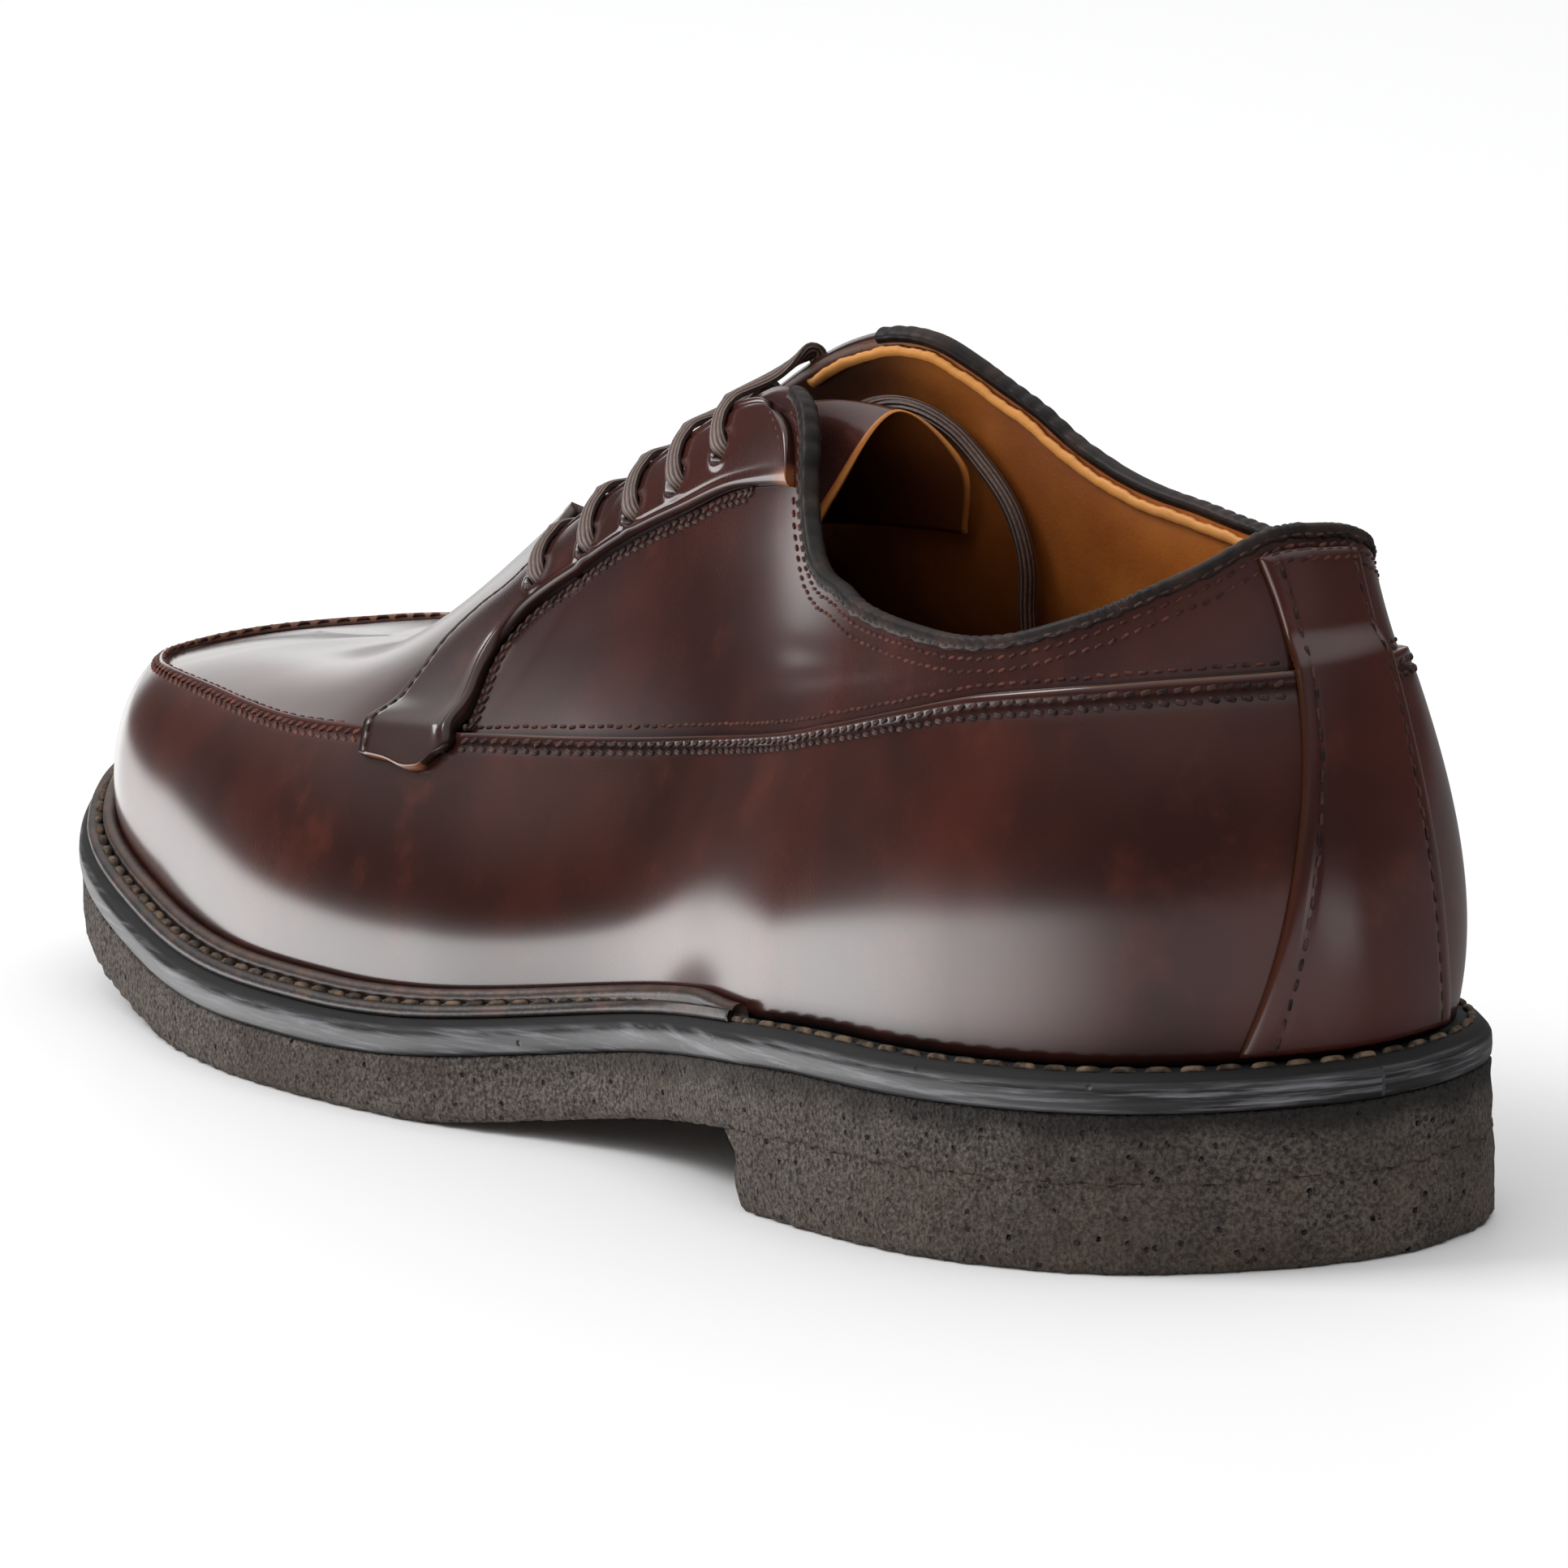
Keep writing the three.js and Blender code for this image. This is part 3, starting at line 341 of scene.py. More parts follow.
# Seam: inset, height, flare, lean, crown
SEAM = np.array([
    (0.081, 0.585, 15, 17, 17), (0.092, 0.579, 15, 17, 17), (0.115, 0.544, 14, 18, 18),
    (0.163, 0.453, 13, 20, 20), (0.163, 0.423, 15, 22, 32), (0.192, 0.436, 13, 28, 54),
    (0.192, 0.411, 12, 38, 72), (0.173, 0.369, 13, 50, 76), (0.135, 0.291, 16, 56, 78),
    (0.112, 0.230, 18, 58, 79), (0.106, 0.212, 18, 58, 80), (0.135, 0.240, 18, 58, 79),
    (0.163, 0.305, 16, 56, 78), (0.192, 0.384, 13, 50, 74), (0.202, 0.425, 12, 40, 66),
    (0.173, 0.455, 13, 32, 48), (0.135, 0.452, 14, 24, 30), (0.135, 0.459, 13, 20, 20),
    (0.106, 0.544, 15, 18, 18), (0.087, 0.579, 16, 17, 17)])
# Top: along, outer, inner, height, slope
TOP = np.array([
    (0.056, 0.154, 0.154, 1.000, 80), (0.079, -0.212, 0.423, 1.000, 80),
    (0.142, -0.375, 0.500, 1.012, 80), (0.248, -0.327, 0.442, 1.032, 78),
    (0.361, -0.125, 0.183, 1.045, 60), (0.507, 0.010, 0.010, 0.961, 44),
    (0.649, 0.019, 0.019, 0.731, 40), (0.758, 0.058, 0.058, 0.467, 8),
    (0.841, 0.067, 0.067, 0.380, 0), (0.887, 0.067, 0.067, 0.332, 0),
    (0.904, 0.058, 0.058, 0.313, 0)])
# Top edge on each side, from the heel to the throat's end: place, height
OUTER_EDGE = np.array([
    (0, 1.5), (0.3, 1.49), (0.69, 1.37), (1.38, 1.235), (2.05, 1.18), (2.55, 1.24),
    (3.18, 1.36), (3.6, 1.48), (3.72, 1.58), (3.82, 1.7), (4.1, 1.85), (4.25, 1.875),
    (4.7, 1.81), (5, 1.75), (5.3, 1.71), (5.55, 1.68), (5.8, 1.83), (5.95, 2)])
INNER_EDGE = np.array([
    (0, 1.5), (0.5, 1.47), (1, 1.39), (1.8, 1.31), (2.4, 1.4), (3.04, 1.57), (3.23, 1.64),
    (3.4, 1.72), (3.57, 1.79), (3.73, 1.86), (3.9, 1.93), (4.15, 1.985), (4.3, 1.985),
    (4.7, 1.89), (5, 1.79), (5.3, 1.73), (5.55, 1.69), (5.8, 1.83), (5.95, 2)])
OUTER_CORNER, INNER_CORNER = 4.1, 4.15
# Facings: front, rear, rearHeight
OUTER_FACING = np.array([
    (4.24, 3.76, 1.6), (4.45, 4.17, 1.61), (4.72, 4.45, 1.565), (5, 4.74, 1.518), (5.28, 5, 1.465),
    (5.52, 5.19, 1.41), (5.7, 5.26, 1.335), (5.755, 5.24, 1.25), (5.7, 5.165, 1.15),
    (5.61, 5.09, 1.05), (5.56, 5.045, 0.955), (5.52, 5.08, 0.862)])
INNER_FACING = np.array([
    (4.28, 3.44, 1.6), (4.45, 3.9, 1.66), (4.72, 4.28, 1.6), (5, 4.62, 1.52), (5.28, 4.93, 1.45),
    (5.52, 5.14, 1.4), (5.7, 5.24, 1.335), (5.755, 5.24, 1.25), (5.7, 5.165, 1.15),
    (5.61, 5.09, 1.05), (5.56, 5.045, 0.955), (5.52, 5.08, 0.862)])
FACING_FRONT = np.array([2, 2, 2, 2, 2, 1.6, 1.5, 1.4, 1.27, 1.1, 0.975, 0.88])
# Eyelets: place, then the distance from the lacing edge, outer and inner
EYELETS = np.array([(4.49, 7, 8.5), (4.71, 7.8, 7.8), (4.94, 8, 7), (5.18, 8, 6.6), (5.44, 7.6, 6.6)])
# Strap: height, outer, inner
STRAP = np.array([
    (0.02, 0.58, 0.72), (0.2, 0.47, 0.62), (0.5, 0.33, 0.56), (0.8, 0.24, 0.55),
    (1, 0.23, 0.56), (1.2, 0.28, 0.56), (1.4, 0.37, 0.57)])
# Tongue: outer, inner, edge, shoulder, gap, arch
TONGUE = np.array([
    (6.5, 6.5, 1.5, 1.8, 1.2, 1.6), (6, 6, 1.48, 1.78, 1.2, 1.8), (5.5, 5.5, 1.5, 1.79, 1.4, 0.4),
    (5, 5, 1.52, 1.79, 1.8, 1.4), (4.6, 4.6, 1.48, 1.74, 3.4, 5.6), (4.12, 4, 1.45, 1.67, 3.7, 8),
    (3.86, 3.6, 1.42, 1.6, 3.6, 9.6)])
# The lace's free end, point by point
LACE_END = np.array([
    (4.9, -15.0, 90.0), (5.1, -24.7, 94.6), (6.0, -33.7, 98.0), (7.6, -40.6, 98.2),
    (9.7, -46.6, 95.7), (11.6, -51.7, 91.0), (12.8, -55.4, 86.5), (13.5, -57.3, 81.9),
    (14.0, -57.7, 77.2), (14.5, -56.4, 71.6), (15.5, -55.3, 66.0), (17.6, -54.3, 59.9),
    (19.2, -53.1, 55.1), (20.8, -51.9, 50.2), (22.4, -51.7, 45.4), (23.6, -51.5, 40.7),
    (24.2, -51.4, 36.4), (23.3, -50.2, 32.4), (20.2, -47.4, 29.4), (15.9, -44.0, 28.2),
    (11.7, -40.8, 27.5)])
LACE_DIAMETER = 2.5
# Lace route on each side: share of the hole's setback, lift off the strip, bow towards the toe
LACE_ROUTE = [(1.15, -2.6, 0), (1.12, -0.9, 0), (0.99, 0.5, 0.2), (0.74, 0.85, 0.9), (0.4, 0.8, 1.3),
              (0.1, 0.45, 1.0), (-0.1, -0.1, 0.3)]


# The last's surface, in whole arrays

def smooth(start, end, value):
    t = np.clip((value - start) / (end - start), 0, 1)
    return t * t * (3 - 2 * t)


def hermite(a, slope_a, b, slope_b, t):
    """Cubic from a to b with a slope given at each end, as t goes from 0 to 1."""
    t2, t3 = t * t, t * t * t
    return (2 * t3 - 3 * t2 + 1) * a + (t3 - 2 * t2 + t) * slope_a \
        + (3 * t2 - 2 * t3) * b + (t3 - t2) * slope_b


def spans():
    """The closed cubic's step from each place to the next: the distance on the sole to the power 0.6."""
    step = np.roll(OUTLINE, -1, 0) - OUTLINE
    return np.hypot(step[:, 1] * HALF_BALL, step[:, 0] * SOLE_LENGTH) ** 0.6


SPANS = spans()


def around(values, place):
    """Closed cubic through one value for each place of the outline."""
    rise = (np.roll(values, -1) - values) / SPANS
    fall, before = np.roll(rise, 1), np.roll(SPANS, 1)
    slopes = (rise * before + fall * SPANS) / (SPANS + before)
    wrapped = np.mod(place, PLACES)
    index = np.minimum(np.floor(wrapped).astype(int), PLACES - 1)
    after = (index + 1) % PLACES
    return hermite(values[index], slopes[index] * SPANS[index], values[after], slopes[after] * SPANS[index],
                   wrapped - index)


def along(values, where, knots=None):
    """Open cubic through a column, by its knots, or by row number with flat ends."""
    keyed = knots is not None
    knots = knots if keyed else np.arange(len(values), dtype=float)
    width = np.diff(knots)
    rise = np.diff(values) / width
    slopes = np.zeros(len(values))
    slopes[1:-1] = (rise[1:] * width[:-1] + rise[:-1] * width[1:]) / (width[:-1] + width[1:])
    if keyed:
        slopes[0], slopes[-1] = rise[0], rise[-1]
    index = np.clip(np.searchsorted(knots, where, side="left") - 1, 0, len(values) - 2)
    t = np.clip((where - knots[index]) / width[index], 0, 1)
    return hermite(values[index], slopes[index] * width[index], values[index + 1],
                   slopes[index + 1] * width[index], t)


def crepe_top(y):
    share = y / SOLE_LENGTH + 0.5
    spring = np.clip((share - 0.66) / 0.34, 0, 1)
    return HEEL_STACK + (BALL_STACK - HEEL_STACK) * smooth(0.19, 0.604, share) + TOE_SPRING * spring ** 2.2


def sole_top(y):
    return crepe_top(y) + MIDSOLE


def crepe_bottom(y):
    return np.maximum(crepe_top(y) - CREPE_SHEET, 0)


def unit(v):
    return v / np.maximum(np.linalg.norm(v, axis=-1, keepdims=True), 1e-12)


def outline_point(place, inset=0.0):
    """The sole's edge moved inwards by inset, and its outward direction."""
    place = np.asarray(place, float)
    side, ahead, step = OUTLINE[:, 1] * HALF_BALL, OUTLINE[:, 0] * SOLE_LENGTH, 0.001
    dx = around(side, place + step) - around(side, place - step)
    dy = around(ahead, place + step) - around(ahead, place - step)
    out = unit(np.stack([-dy, dx, np.zeros_like(dx)], -1))
    point = np.stack([around(side, place), around(ahead, place) - SOLE_LENGTH / 2, np.zeros_like(dx)], -1)
    return point - out * np.asarray(inset)[..., None], out


def feather(place, inset=0.0):
    """The last's foot on the sole, further in than the sole's edge, and the outward direction there."""
    reach = REACH_HEEL + (REACH_BALL - REACH_HEEL) * smooth(0.3, 0.55, around(OUTLINE[:, 0], place))
    point, out = outline_point(place, reach + inset)
    point[..., 2] = sole_top(point[..., 1]) + 0.3
    return point, out


def leaning(out, degrees):
    """Upright direction leaning inwards by some degrees."""
    angle = np.radians(degrees)[..., None]
    return -out * np.sin(angle) + UP * np.cos(angle)


def top_point(place):
    """The last's top line, and the slope in degrees at which the crown reaches it."""
    wrapped = np.mod(place, PLACES)
    row = np.minimum(wrapped, PLACES - wrapped)
    outer, inner = along(TOP[:, 1], row), along(TOP[:, 2], row)
    side = np.where(row >= RIDGE_START, (outer + inner) / 2, np.where(wrapped <= TOE, outer, inner))
    y = (along(TOP[:, 0], row) - 0.5) * SOLE_LENGTH
    z = sole_top(y) + along(TOP[:, 3], row) * LAST_HEIGHT
    return np.stack([side * HALF_BALL, y, z], -1), along(TOP[:, 4], row)


def last_point(place, height):
    """Point of the last: height 0 to 1 is a cubic wall from the sole to the seam, 1 to 2 a cubic crown from
    there to the top line."""
    place, height = np.broadcast_arrays(np.asarray(place, float), np.asarray(height, float))
    foot, out = feather(place)
    seam = foot - out * (around(SEAM[:, 0], place) * HALF_BALL)[..., None]
    seam[..., 2] = sole_top(foot[..., 1]) + around(SEAM[:, 1], place) * LAST_HEIGHT
    rise = np.linalg.norm(seam - foot, axis=-1)[..., None]
    start = leaning(out, -around(SEAM[:, 2], place)) * rise
    end = leaning(out, around(SEAM[:, 3], place)) * rise
    wall = hermite(foot, start, seam, end, np.clip(height, 0, 1)[..., None])
    top, slope = top_point(place)
    rise = np.linalg.norm(top - seam, axis=-1)[..., None]
    inward = unit((top - seam) * np.array([1, 1, 0]))
    angle = np.radians(slope)[..., None]
    start = leaning(out, around(SEAM[:, 4], place)) * rise
    end = (inward * np.cos(angle) + UP * np.sin(angle)) * rise
    crown = hermite(seam, start, top, end, np.clip(height - 1, 0, 1)[..., None])
    return np.where(height[..., None] <= 1, wall, crown)


def plain_normal(place, height):
    step = 0.01
    low, high = np.clip(height - step, 0, 2), np.clip(height + step, 0, 2)
    across = last_point(place + step, height) - last_point(place - step, height)
    rise = last_point(place, high) - last_point(place, low)
    return unit(np.cross(rise, across))


def last_normal(place, height):
    """Outward direction of the last, shared by both sides along the ridge."""
    place, height = np.broadcast_arrays(np.asarray(place, float), np.asarray(height, float))
    normal = plain_normal(place, height)
    wrapped = np.mod(place, PLACES)
    row = np.minimum(wrapped, PLACES - wrapped)
    ridge = ((height > 1.999) & (row >= RIDGE_START))[..., None]
    normal = np.where(ridge, unit(normal + plain_normal(PLACES - wrapped, height)), normal)
    tip = ((1 - smooth(0.2, 0.7, np.abs(wrapped - TOE))) * smooth(1.85, 1.97, height))[..., None]
    return unit(normal * (1 - tip) + UP * tip)


def skin(place, height, offset=0.0):
    """Point at an offset in millimetres outwards from the last."""
    return last_point(place, height) + last_normal(place, height) * np.asarray(offset, float)[..., None]


def cover_level(height):
    """Level of the leather's outside: the guard below the seam, and one step lower above it."""
    return -GUARD_STEP * smooth(1.0, 1.05, height)


def bridge_level(height):
    """Level of a strip lying over the seam's step."""
    return -GUARD_STEP * smooth(1.0, 1.14, height)


def edge_height(place):
    """Height of the upper's top edge: the collar, the lacing edges and, in front of the throat, the ridge."""
    wrapped = np.mod(place, PLACES)
    row = np.minimum(wrapped, PLACES - wrapped)
    outer = along(OUTER_EDGE[:, 1], row, OUTER_EDGE[:, 0])
    inner = along(INNER_EDGE[:, 1], row, INNER_EDGE[:, 0])
    return np.where(row > THROAT_END - 1e-6, 2.0, np.where(wrapped <= TOE, outer, inner))


def moved(place, height, way):
    """The place and height reached by going a short way over the last."""
    step = 0.01
    across = (last_point(place + step, height) - last_point(place - step, height)) / (2 * step)
    rise = (last_point(place, height) - last_point(place, height - step)) / step
    aa, ab, bb = (across * across).sum(-1), (across * rise).sum(-1), (rise * rise).sum(-1)
    wa, wb = (across * way).sum(-1), (rise * way).sum(-1)
    area = aa * bb - ab * ab
    return place + (wa * bb - wb * ab) / area, height + (wb * aa - wa * ab) / area


def rim(place):
    """The top edge: its point, height, the normal there and the way up across the edge."""
    place = np.asarray(place, float)
    step, height = 0.02, edge_height(place)
    ahead, behind = place + step, place - step
    run = last_point(ahead, edge_height(ahead)) - last_point(behind, edge_height(behind))
    normal = last_normal(place, height)
    upward = unit(np.cross(run, normal))
    return last_point(place, height), height, normal, upward * np.where(upward[..., 2:] < 0, -1, 1)


def below_rim(place, distance):
    """Place and height at a distance in millimetres below the top edge."""
    place = np.asarray(place, float)
    _, height, _, upward = rim(place)
    return moved(place, height, -upward * np.asarray(distance, float)[..., None])


def spread(points, pitch):
    """Points at even steps of about pitch along a run of points, and the directions there."""
    lengths = np.concatenate([[0], np.cumsum(np.linalg.norm(np.diff(points, axis=0), axis=1))])
    count = max(int(round(lengths[-1] / pitch)), 1)
    at = (np.arange(count) + 0.5) * lengths[-1] / count
    even = np.stack([np.interp(at, lengths, points[:, i]) for i in range(3)], -1)
    low = np.stack([np.interp(at - 0.3, lengths, points[:, i]) for i in range(3)], -1)
    high = np.stack([np.interp(at + 0.3, lengths, points[:, i]) for i in range(3)], -1)
    return even, unit(high - low), at


# Meshes from whole arrays

def grid_faces(rows, columns, wrap_rows=False, wrap_columns=False):
    r = np.arange(rows if wrap_rows else rows - 1)[:, None]
    c = np.arange(columns if wrap_columns else columns - 1)[None, :]
    next_r, next_c = (r + 1) % rows, (c + 1) % columns
    return np.stack([r * columns + c, next_r * columns + c, next_r * columns + next_c, r * columns + next_c],
                    -1).reshape(-1, 4)


def piece(name, points, faces, materials, stands_for=(), face_material=None, values=None, uv=None,
          weld=False):
    """One mesh object in metres from points in millimetres. Faces that turn inwards as a whole are flipped, and
    with weld equal points become one. Values are point attributes, face_material each face's material."""
    points = points.reshape(-1, 3)
    faces = np.asarray(faces)
    if weld:
        _, first, same = np.unique(np.round(points, 4), axis=0, return_index=True, return_inverse=True)
        same = same.reshape(-1)
        points = points[first]
        values = {key: value.reshape(-1)[first] for key, value in (values or {}).items()}
        faces = same[faces]
        uv = None if uv is None else uv.reshape(-1, 2)[first]
    a, b, c, d = (points[faces[:, i]] for i in range(4))
    volume = (np.einsum("ij,ij->i", a, np.cross(b, c)) + np.einsum("ij,ij->i", a, np.cross(c, d))).sum()
    if volume < 0:
        faces = faces[:, ::-1]
    twin = (faces == np.roll(faces, -1, 1)).any(1)
    kept = np.nonzero(~twin | (np.sort(faces, 1)[:, 1:] != np.sort(faces, 1)[:, :-1]).sum(1) >= 2)[0]
    lists = [list(dict.fromkeys(face)) if twin[i] else face for i, face in zip(kept, faces[kept].tolist())]
    chosen = [i for i, face in enumerate(lists) if len(face) > 2]
    mesh = bpy.data.meshes.new(name)
    mesh.from_pydata((points * MM).tolist(), [], [lists[i] for i in chosen])
    mesh.polygons.foreach_set("use_smooth", np.ones(len(chosen), bool))
    for made in materials:
        mesh.materials.append(made)
    if face_material is not None:
        mesh.polygons.foreach_set("material_index", np.asarray(face_material)[kept][chosen].astype(np.int32))
    for key, value in (values or {}).items():
        painted = mesh.attributes.new(key, "FLOAT", "POINT")
        painted.data.foreach_set("value", value.reshape(-1).astype(np.float32))
    if uv is not None:
        layer = mesh.uv_layers.new(name="UVMap")
        corner = np.empty(len(mesh.loops), np.int32)
        mesh.loops.foreach_get("vertex_index", corner)
        layer.data.foreach_set("uv", uv.reshape(-1, 2)[corner].astype(np.float32).reshape(-1))
    mesh.update()
    made = bpy.data.objects.new(name, mesh)
    bpy.context.scene.collection.objects.link(made)
    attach(made, "root")
    if stands_for:
        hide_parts(*stands_for)
    return made


def hills(place, height, table):
    """Sum of soft round hills or dents: place, height, their widths on the last, and millimetres."""
    place, height = np.broadcast_arrays(place, height)
    total = np.zeros(place.shape)
    for at, up, wide, tall, rise in table:
        gap = np.mod(place - at + PLACES / 2, PLACES) - PLACES / 2
        total += rise * np.exp(-(gap / wide) ** 2 - ((height - up) / tall) ** 2)
    return total


# Wear of the upper: place, height, width, tallness, millimetres
DENTS = [
    (3.1, 0.5, 0.7, 0.3, 0.03), (4.5, 0.42, 0.3, 0.3, -0.03), (6.3, 0.5, 0.6, 0.35, -0.1),
    (3.0, 1.17, 0.5, 0.05, 0.07), (3.0, 1.1, 0.6, 0.04, -0.07), (2.2, 1.09, 0.6, 0.05, 0.08),
    (4.6, 1.3, 0.35, 0.12, 0.15), (4.2, 1.42, 0.3, 0.1, -0.12), (3.5, 1.22, 0.2, 0.03, 0.04),
    (3.3, 1.17, 0.3, 0.025, -0.04), (2.8, 1.13, 0.3, 0.02, 0.03), (2.5, 1.06, 0.4, 0.02, -0.03),
    (7.3, 1.35, 0.5, 0.2, 0.35), (6.6, 1.55, 0.4, 0.15, -0.25), (8.4, 1.5, 0.6, 0.25, 0.2),
    (13.2, 1.4, 0.6, 0.2, 0.3), (15.5, 0.5, 0.6, 0.3, -0.15), (16.4, 0.55, 0.5, 0.25, 0.12),
    (16.2, 1.2, 0.4, 0.1, 0.2)]


def seam_shape(height):
    """Rounded raw edge of the guard: it swells a little below its edge and drops to the leather above."""
    edge = GUARD_STEP * (1 - smooth(0.998, 1.006, height)) - GUARD_STEP
    swell = 0.1 * np.exp(-((height - 0.985) / 0.012) ** 2) - 0.15 * np.exp(-((height - 0.953) / 0.02) ** 2)
    return np.where(height > 0.9, edge + swell, 0.0)


def upper():
    """The upper: the last's function over place and height, in rows up the outside to the top edge, over it
    and down the lining. Columns run right round; along the ridge both sides share their top points."""
    even = np.concatenate([np.linspace(0, THROAT_END, 150), np.linspace(THROAT_END, TOE, 71)[1:]])
    places = np.concatenate([even, (PLACES - even[::-1])[1:-1]])[:, None]
    top = edge_height(places)
    from_heel = np.minimum(places, PLACES - places)
    guard = np.concatenate([np.linspace(0, 0.9, 30), np.linspace(0.905, 0.992, 14),
                            [0.998, 1.0, 1.002, 1.004, 1.006, 1.01]])
    crown = np.linspace(0, 1, 40)[1:]
    lining, low_lining = np.linspace(1, 0, 26), np.linspace(0.97, 0, 14)
    tall = np.concatenate([np.broadcast_to(guard, (len(places), len(guard))),
                           guard[-1] + (top - guard[-1]) * crown, 1 + (top - 1) * lining,
                           np.broadcast_to(low_lining, (len(places), len(low_lining)))], 1)
    count = tall.shape[1]
    rim_row = len(guard) + len(crown) - 1
    outside = np.arange(count) <= rim_row
    relief = seam_shape(tall) + hills(places, tall, DENTS) * smooth(0, 0.2, tall) * smooth(0, 0.1, top - tall)
    # The ridge in front of the throat is rounded off over six of the crown's thirty-eight millimetres a side
    crown_width, rounded, deepest = 38, 6, 3
    peak = np.tan(np.radians(np.clip(top_point(places)[1], 0, 60))) * smooth(5.97, 6.3, from_heel)
    relief = relief - deepest * peak * np.clip(1 - (top - tall) * crown_width / rounded, 0, 1) ** 2
    level = np.where(outside, relief, -(GUARD_STEP + WALL))
    points = skin(np.broadcast_to(places, tall.shape), tall, level)
    points[:, -1, 2] = points[:, 0, 2]
    faces = grid_faces(len(places), count, True, True)
    row, column = faces[:, 0] // count, faces[:, 0] % count
    ridge = (top[:, 0] > 2 - 1e-9) & (np.roll(top[:, 0], -1) > 2 - 1e-9)
    kept = ~(ridge[row] & (column == rim_row))
    face_material = np.where(column < len(guard) - 1, 0, np.where(column < rim_row, 1, 2))
    lacing_edge = (column == rim_row) & (from_heel[row, 0] > 4.1)
    face_material = np.where(lacing_edge, 1, face_material)[kept]
    quarter = 1 - smooth(5.3, 5.9, from_heel)
    # Painted shade in the seam's groove, at the foot of the guard's step and at the upper's foot by the welt
    near_seam = np.exp(-((tall - 0.953) / 0.024) ** 2) * 0.55 * (0.25 + 0.75 * quarter) \
        + np.exp(-((tall - 1.006) / 0.006) ** 2) * 0.8 * (0.35 + 0.65 * quarter)
    foot = 0.6 * np.exp(-(tall / 0.05) ** 2)
    # Painted shade on the lining: darker towards the throat, deep inside the shoe and low down
    throat = 0.9 * smooth(3.5, 4.3, from_heel) * smooth(1.0, 1.6, tall)
    deep = 0.85 * smooth(2.4, 3.7, from_heel) * (1 - 0.5 * smooth(1.0, 1.5, tall))
    shade = np.where(outside, np.clip(near_seam + foot, 0, 1),
                     np.clip(np.maximum(throat, deep) + 0.3 * (1 - smooth(0.3, 1.2, tall)), 0, 1))
    raw = np.where(outside, np.exp(-((tall - 1.0005) / 0.0018) ** 2) * 0.6, 0)
    return piece("upper_shell", points, faces[kept], [LEATHER, QUARTER, LINING], ["upper"],
                 face_material, {"shade": shade, "raw": raw}, weld=True)


def overlay(patch, length_steps, width_steps, relief):
    """A strip of leather on the last: a grid of place and height lifted by its thickness, its edges rounded
    off and its sides closed down to the leather below."""
    a = np.concatenate([[0, 0, 0.004, 0.012], np.linspace(0.02, 0.98, length_steps), [0.988, 0.996, 1, 1]])
    b = np.concatenate([[0, 0, 0.012, 0.03], np.linspace(0.06, 0.94, width_steps), [0.97, 0.988, 1, 1]])
    place, height = patch(a[:, None], b[None, :])
    drop = np.ones(len(a)), np.ones(len(b))
    for edge in drop:
        for index, left in enumerate((0, 0.5, 0.825, 0.96)):
            edge[[index, -1 - index]] = left
    share = np.minimum(drop[0][:, None], drop[1][None, :])
    base = cover_level(height) + 0.05
    lift = base + (STRIP_THICKNESS + bridge_level(height) - cover_level(height)) * share
    lift = lift + relief(a[:, None], b[None, :], place, height) * (share > 0.9)
    upper_side = skin(place, height, lift)
    under = skin(place, height, base - 0.1)
    points = np.concatenate([upper_side.reshape(-1, 3), under.reshape(-1, 3)])
    count = upper_side.shape[0] * upper_side.shape[1]
    faces = grid_faces(len(a), len(b))
    rim_a = np.arange(len(a)) * len(b)
    first_row, last_row = np.arange(len(b)), np.arange(len(b) - 1)[::-1] + rim_a[-1]
    border = np.concatenate([first_row, rim_a[1:] + len(b) - 1, last_row, rim_a[1:-1][::-1]])
    after = np.roll(border, -1)
    sides = np.stack([border, border + count, after + count, after], -1)
    faces = np.concatenate([faces, faces[:, ::-1] + count, sides])
    return points, faces, share, place, height


def both_sides(value):
    """A value for each point of an overlay's upper side, repeated for its underside."""
    return np.concatenate([value.reshape(-1), value.reshape(-1)])


def facing_patch(side):
    """Place and height for shares along and across a facing strip, its first row beside the binding."""
    table = OUTER_FACING if side > 0 else INNER_FACING

    def mirrored(place):
        return place if side > 0 else PLACES - place

    def patch(a, b):
        row = a * (len(table) - 1)
        front, rear, rear_height = (along(table[:, i], row) for i in range(3))
        lacing = below_rim(mirrored(front), 0.0 * front + 0.6)[1]
        front_height = np.minimum(lacing, along(FACING_FRONT, row))
        place = front + (rear - front) * b
        height = front_height + (rear_height - front_height) * b
        tab = smooth(10, 11, row)
        height = height + tab * (0.055 * smooth(0.8, 1, b) - 0.022 * np.exp(-((b - 0.66) / 0.2) ** 2))
        share = np.maximum(1 - row, 0) + 0 * b
        edge = table[0, 0] + (table[0, 1] - table[0, 0]) * b + 0 * a
        beside = below_rim(mirrored(edge), 0 * edge + 3.6)
        place = mirrored(place)
        return place + (beside[0] - place) * share, height + (beside[1] - height) * share
    return patch


def eyelet_places(side, further=0.0):
    """Place and height of each eyelet on a side, or of points further from the lacing edge."""
    edge = EYELETS[:, 0] if side > 0 else PLACES - EYELETS[:, 0]
    return below_rim(edge, EYELETS[:, 1 if side > 0 else 2] + further)


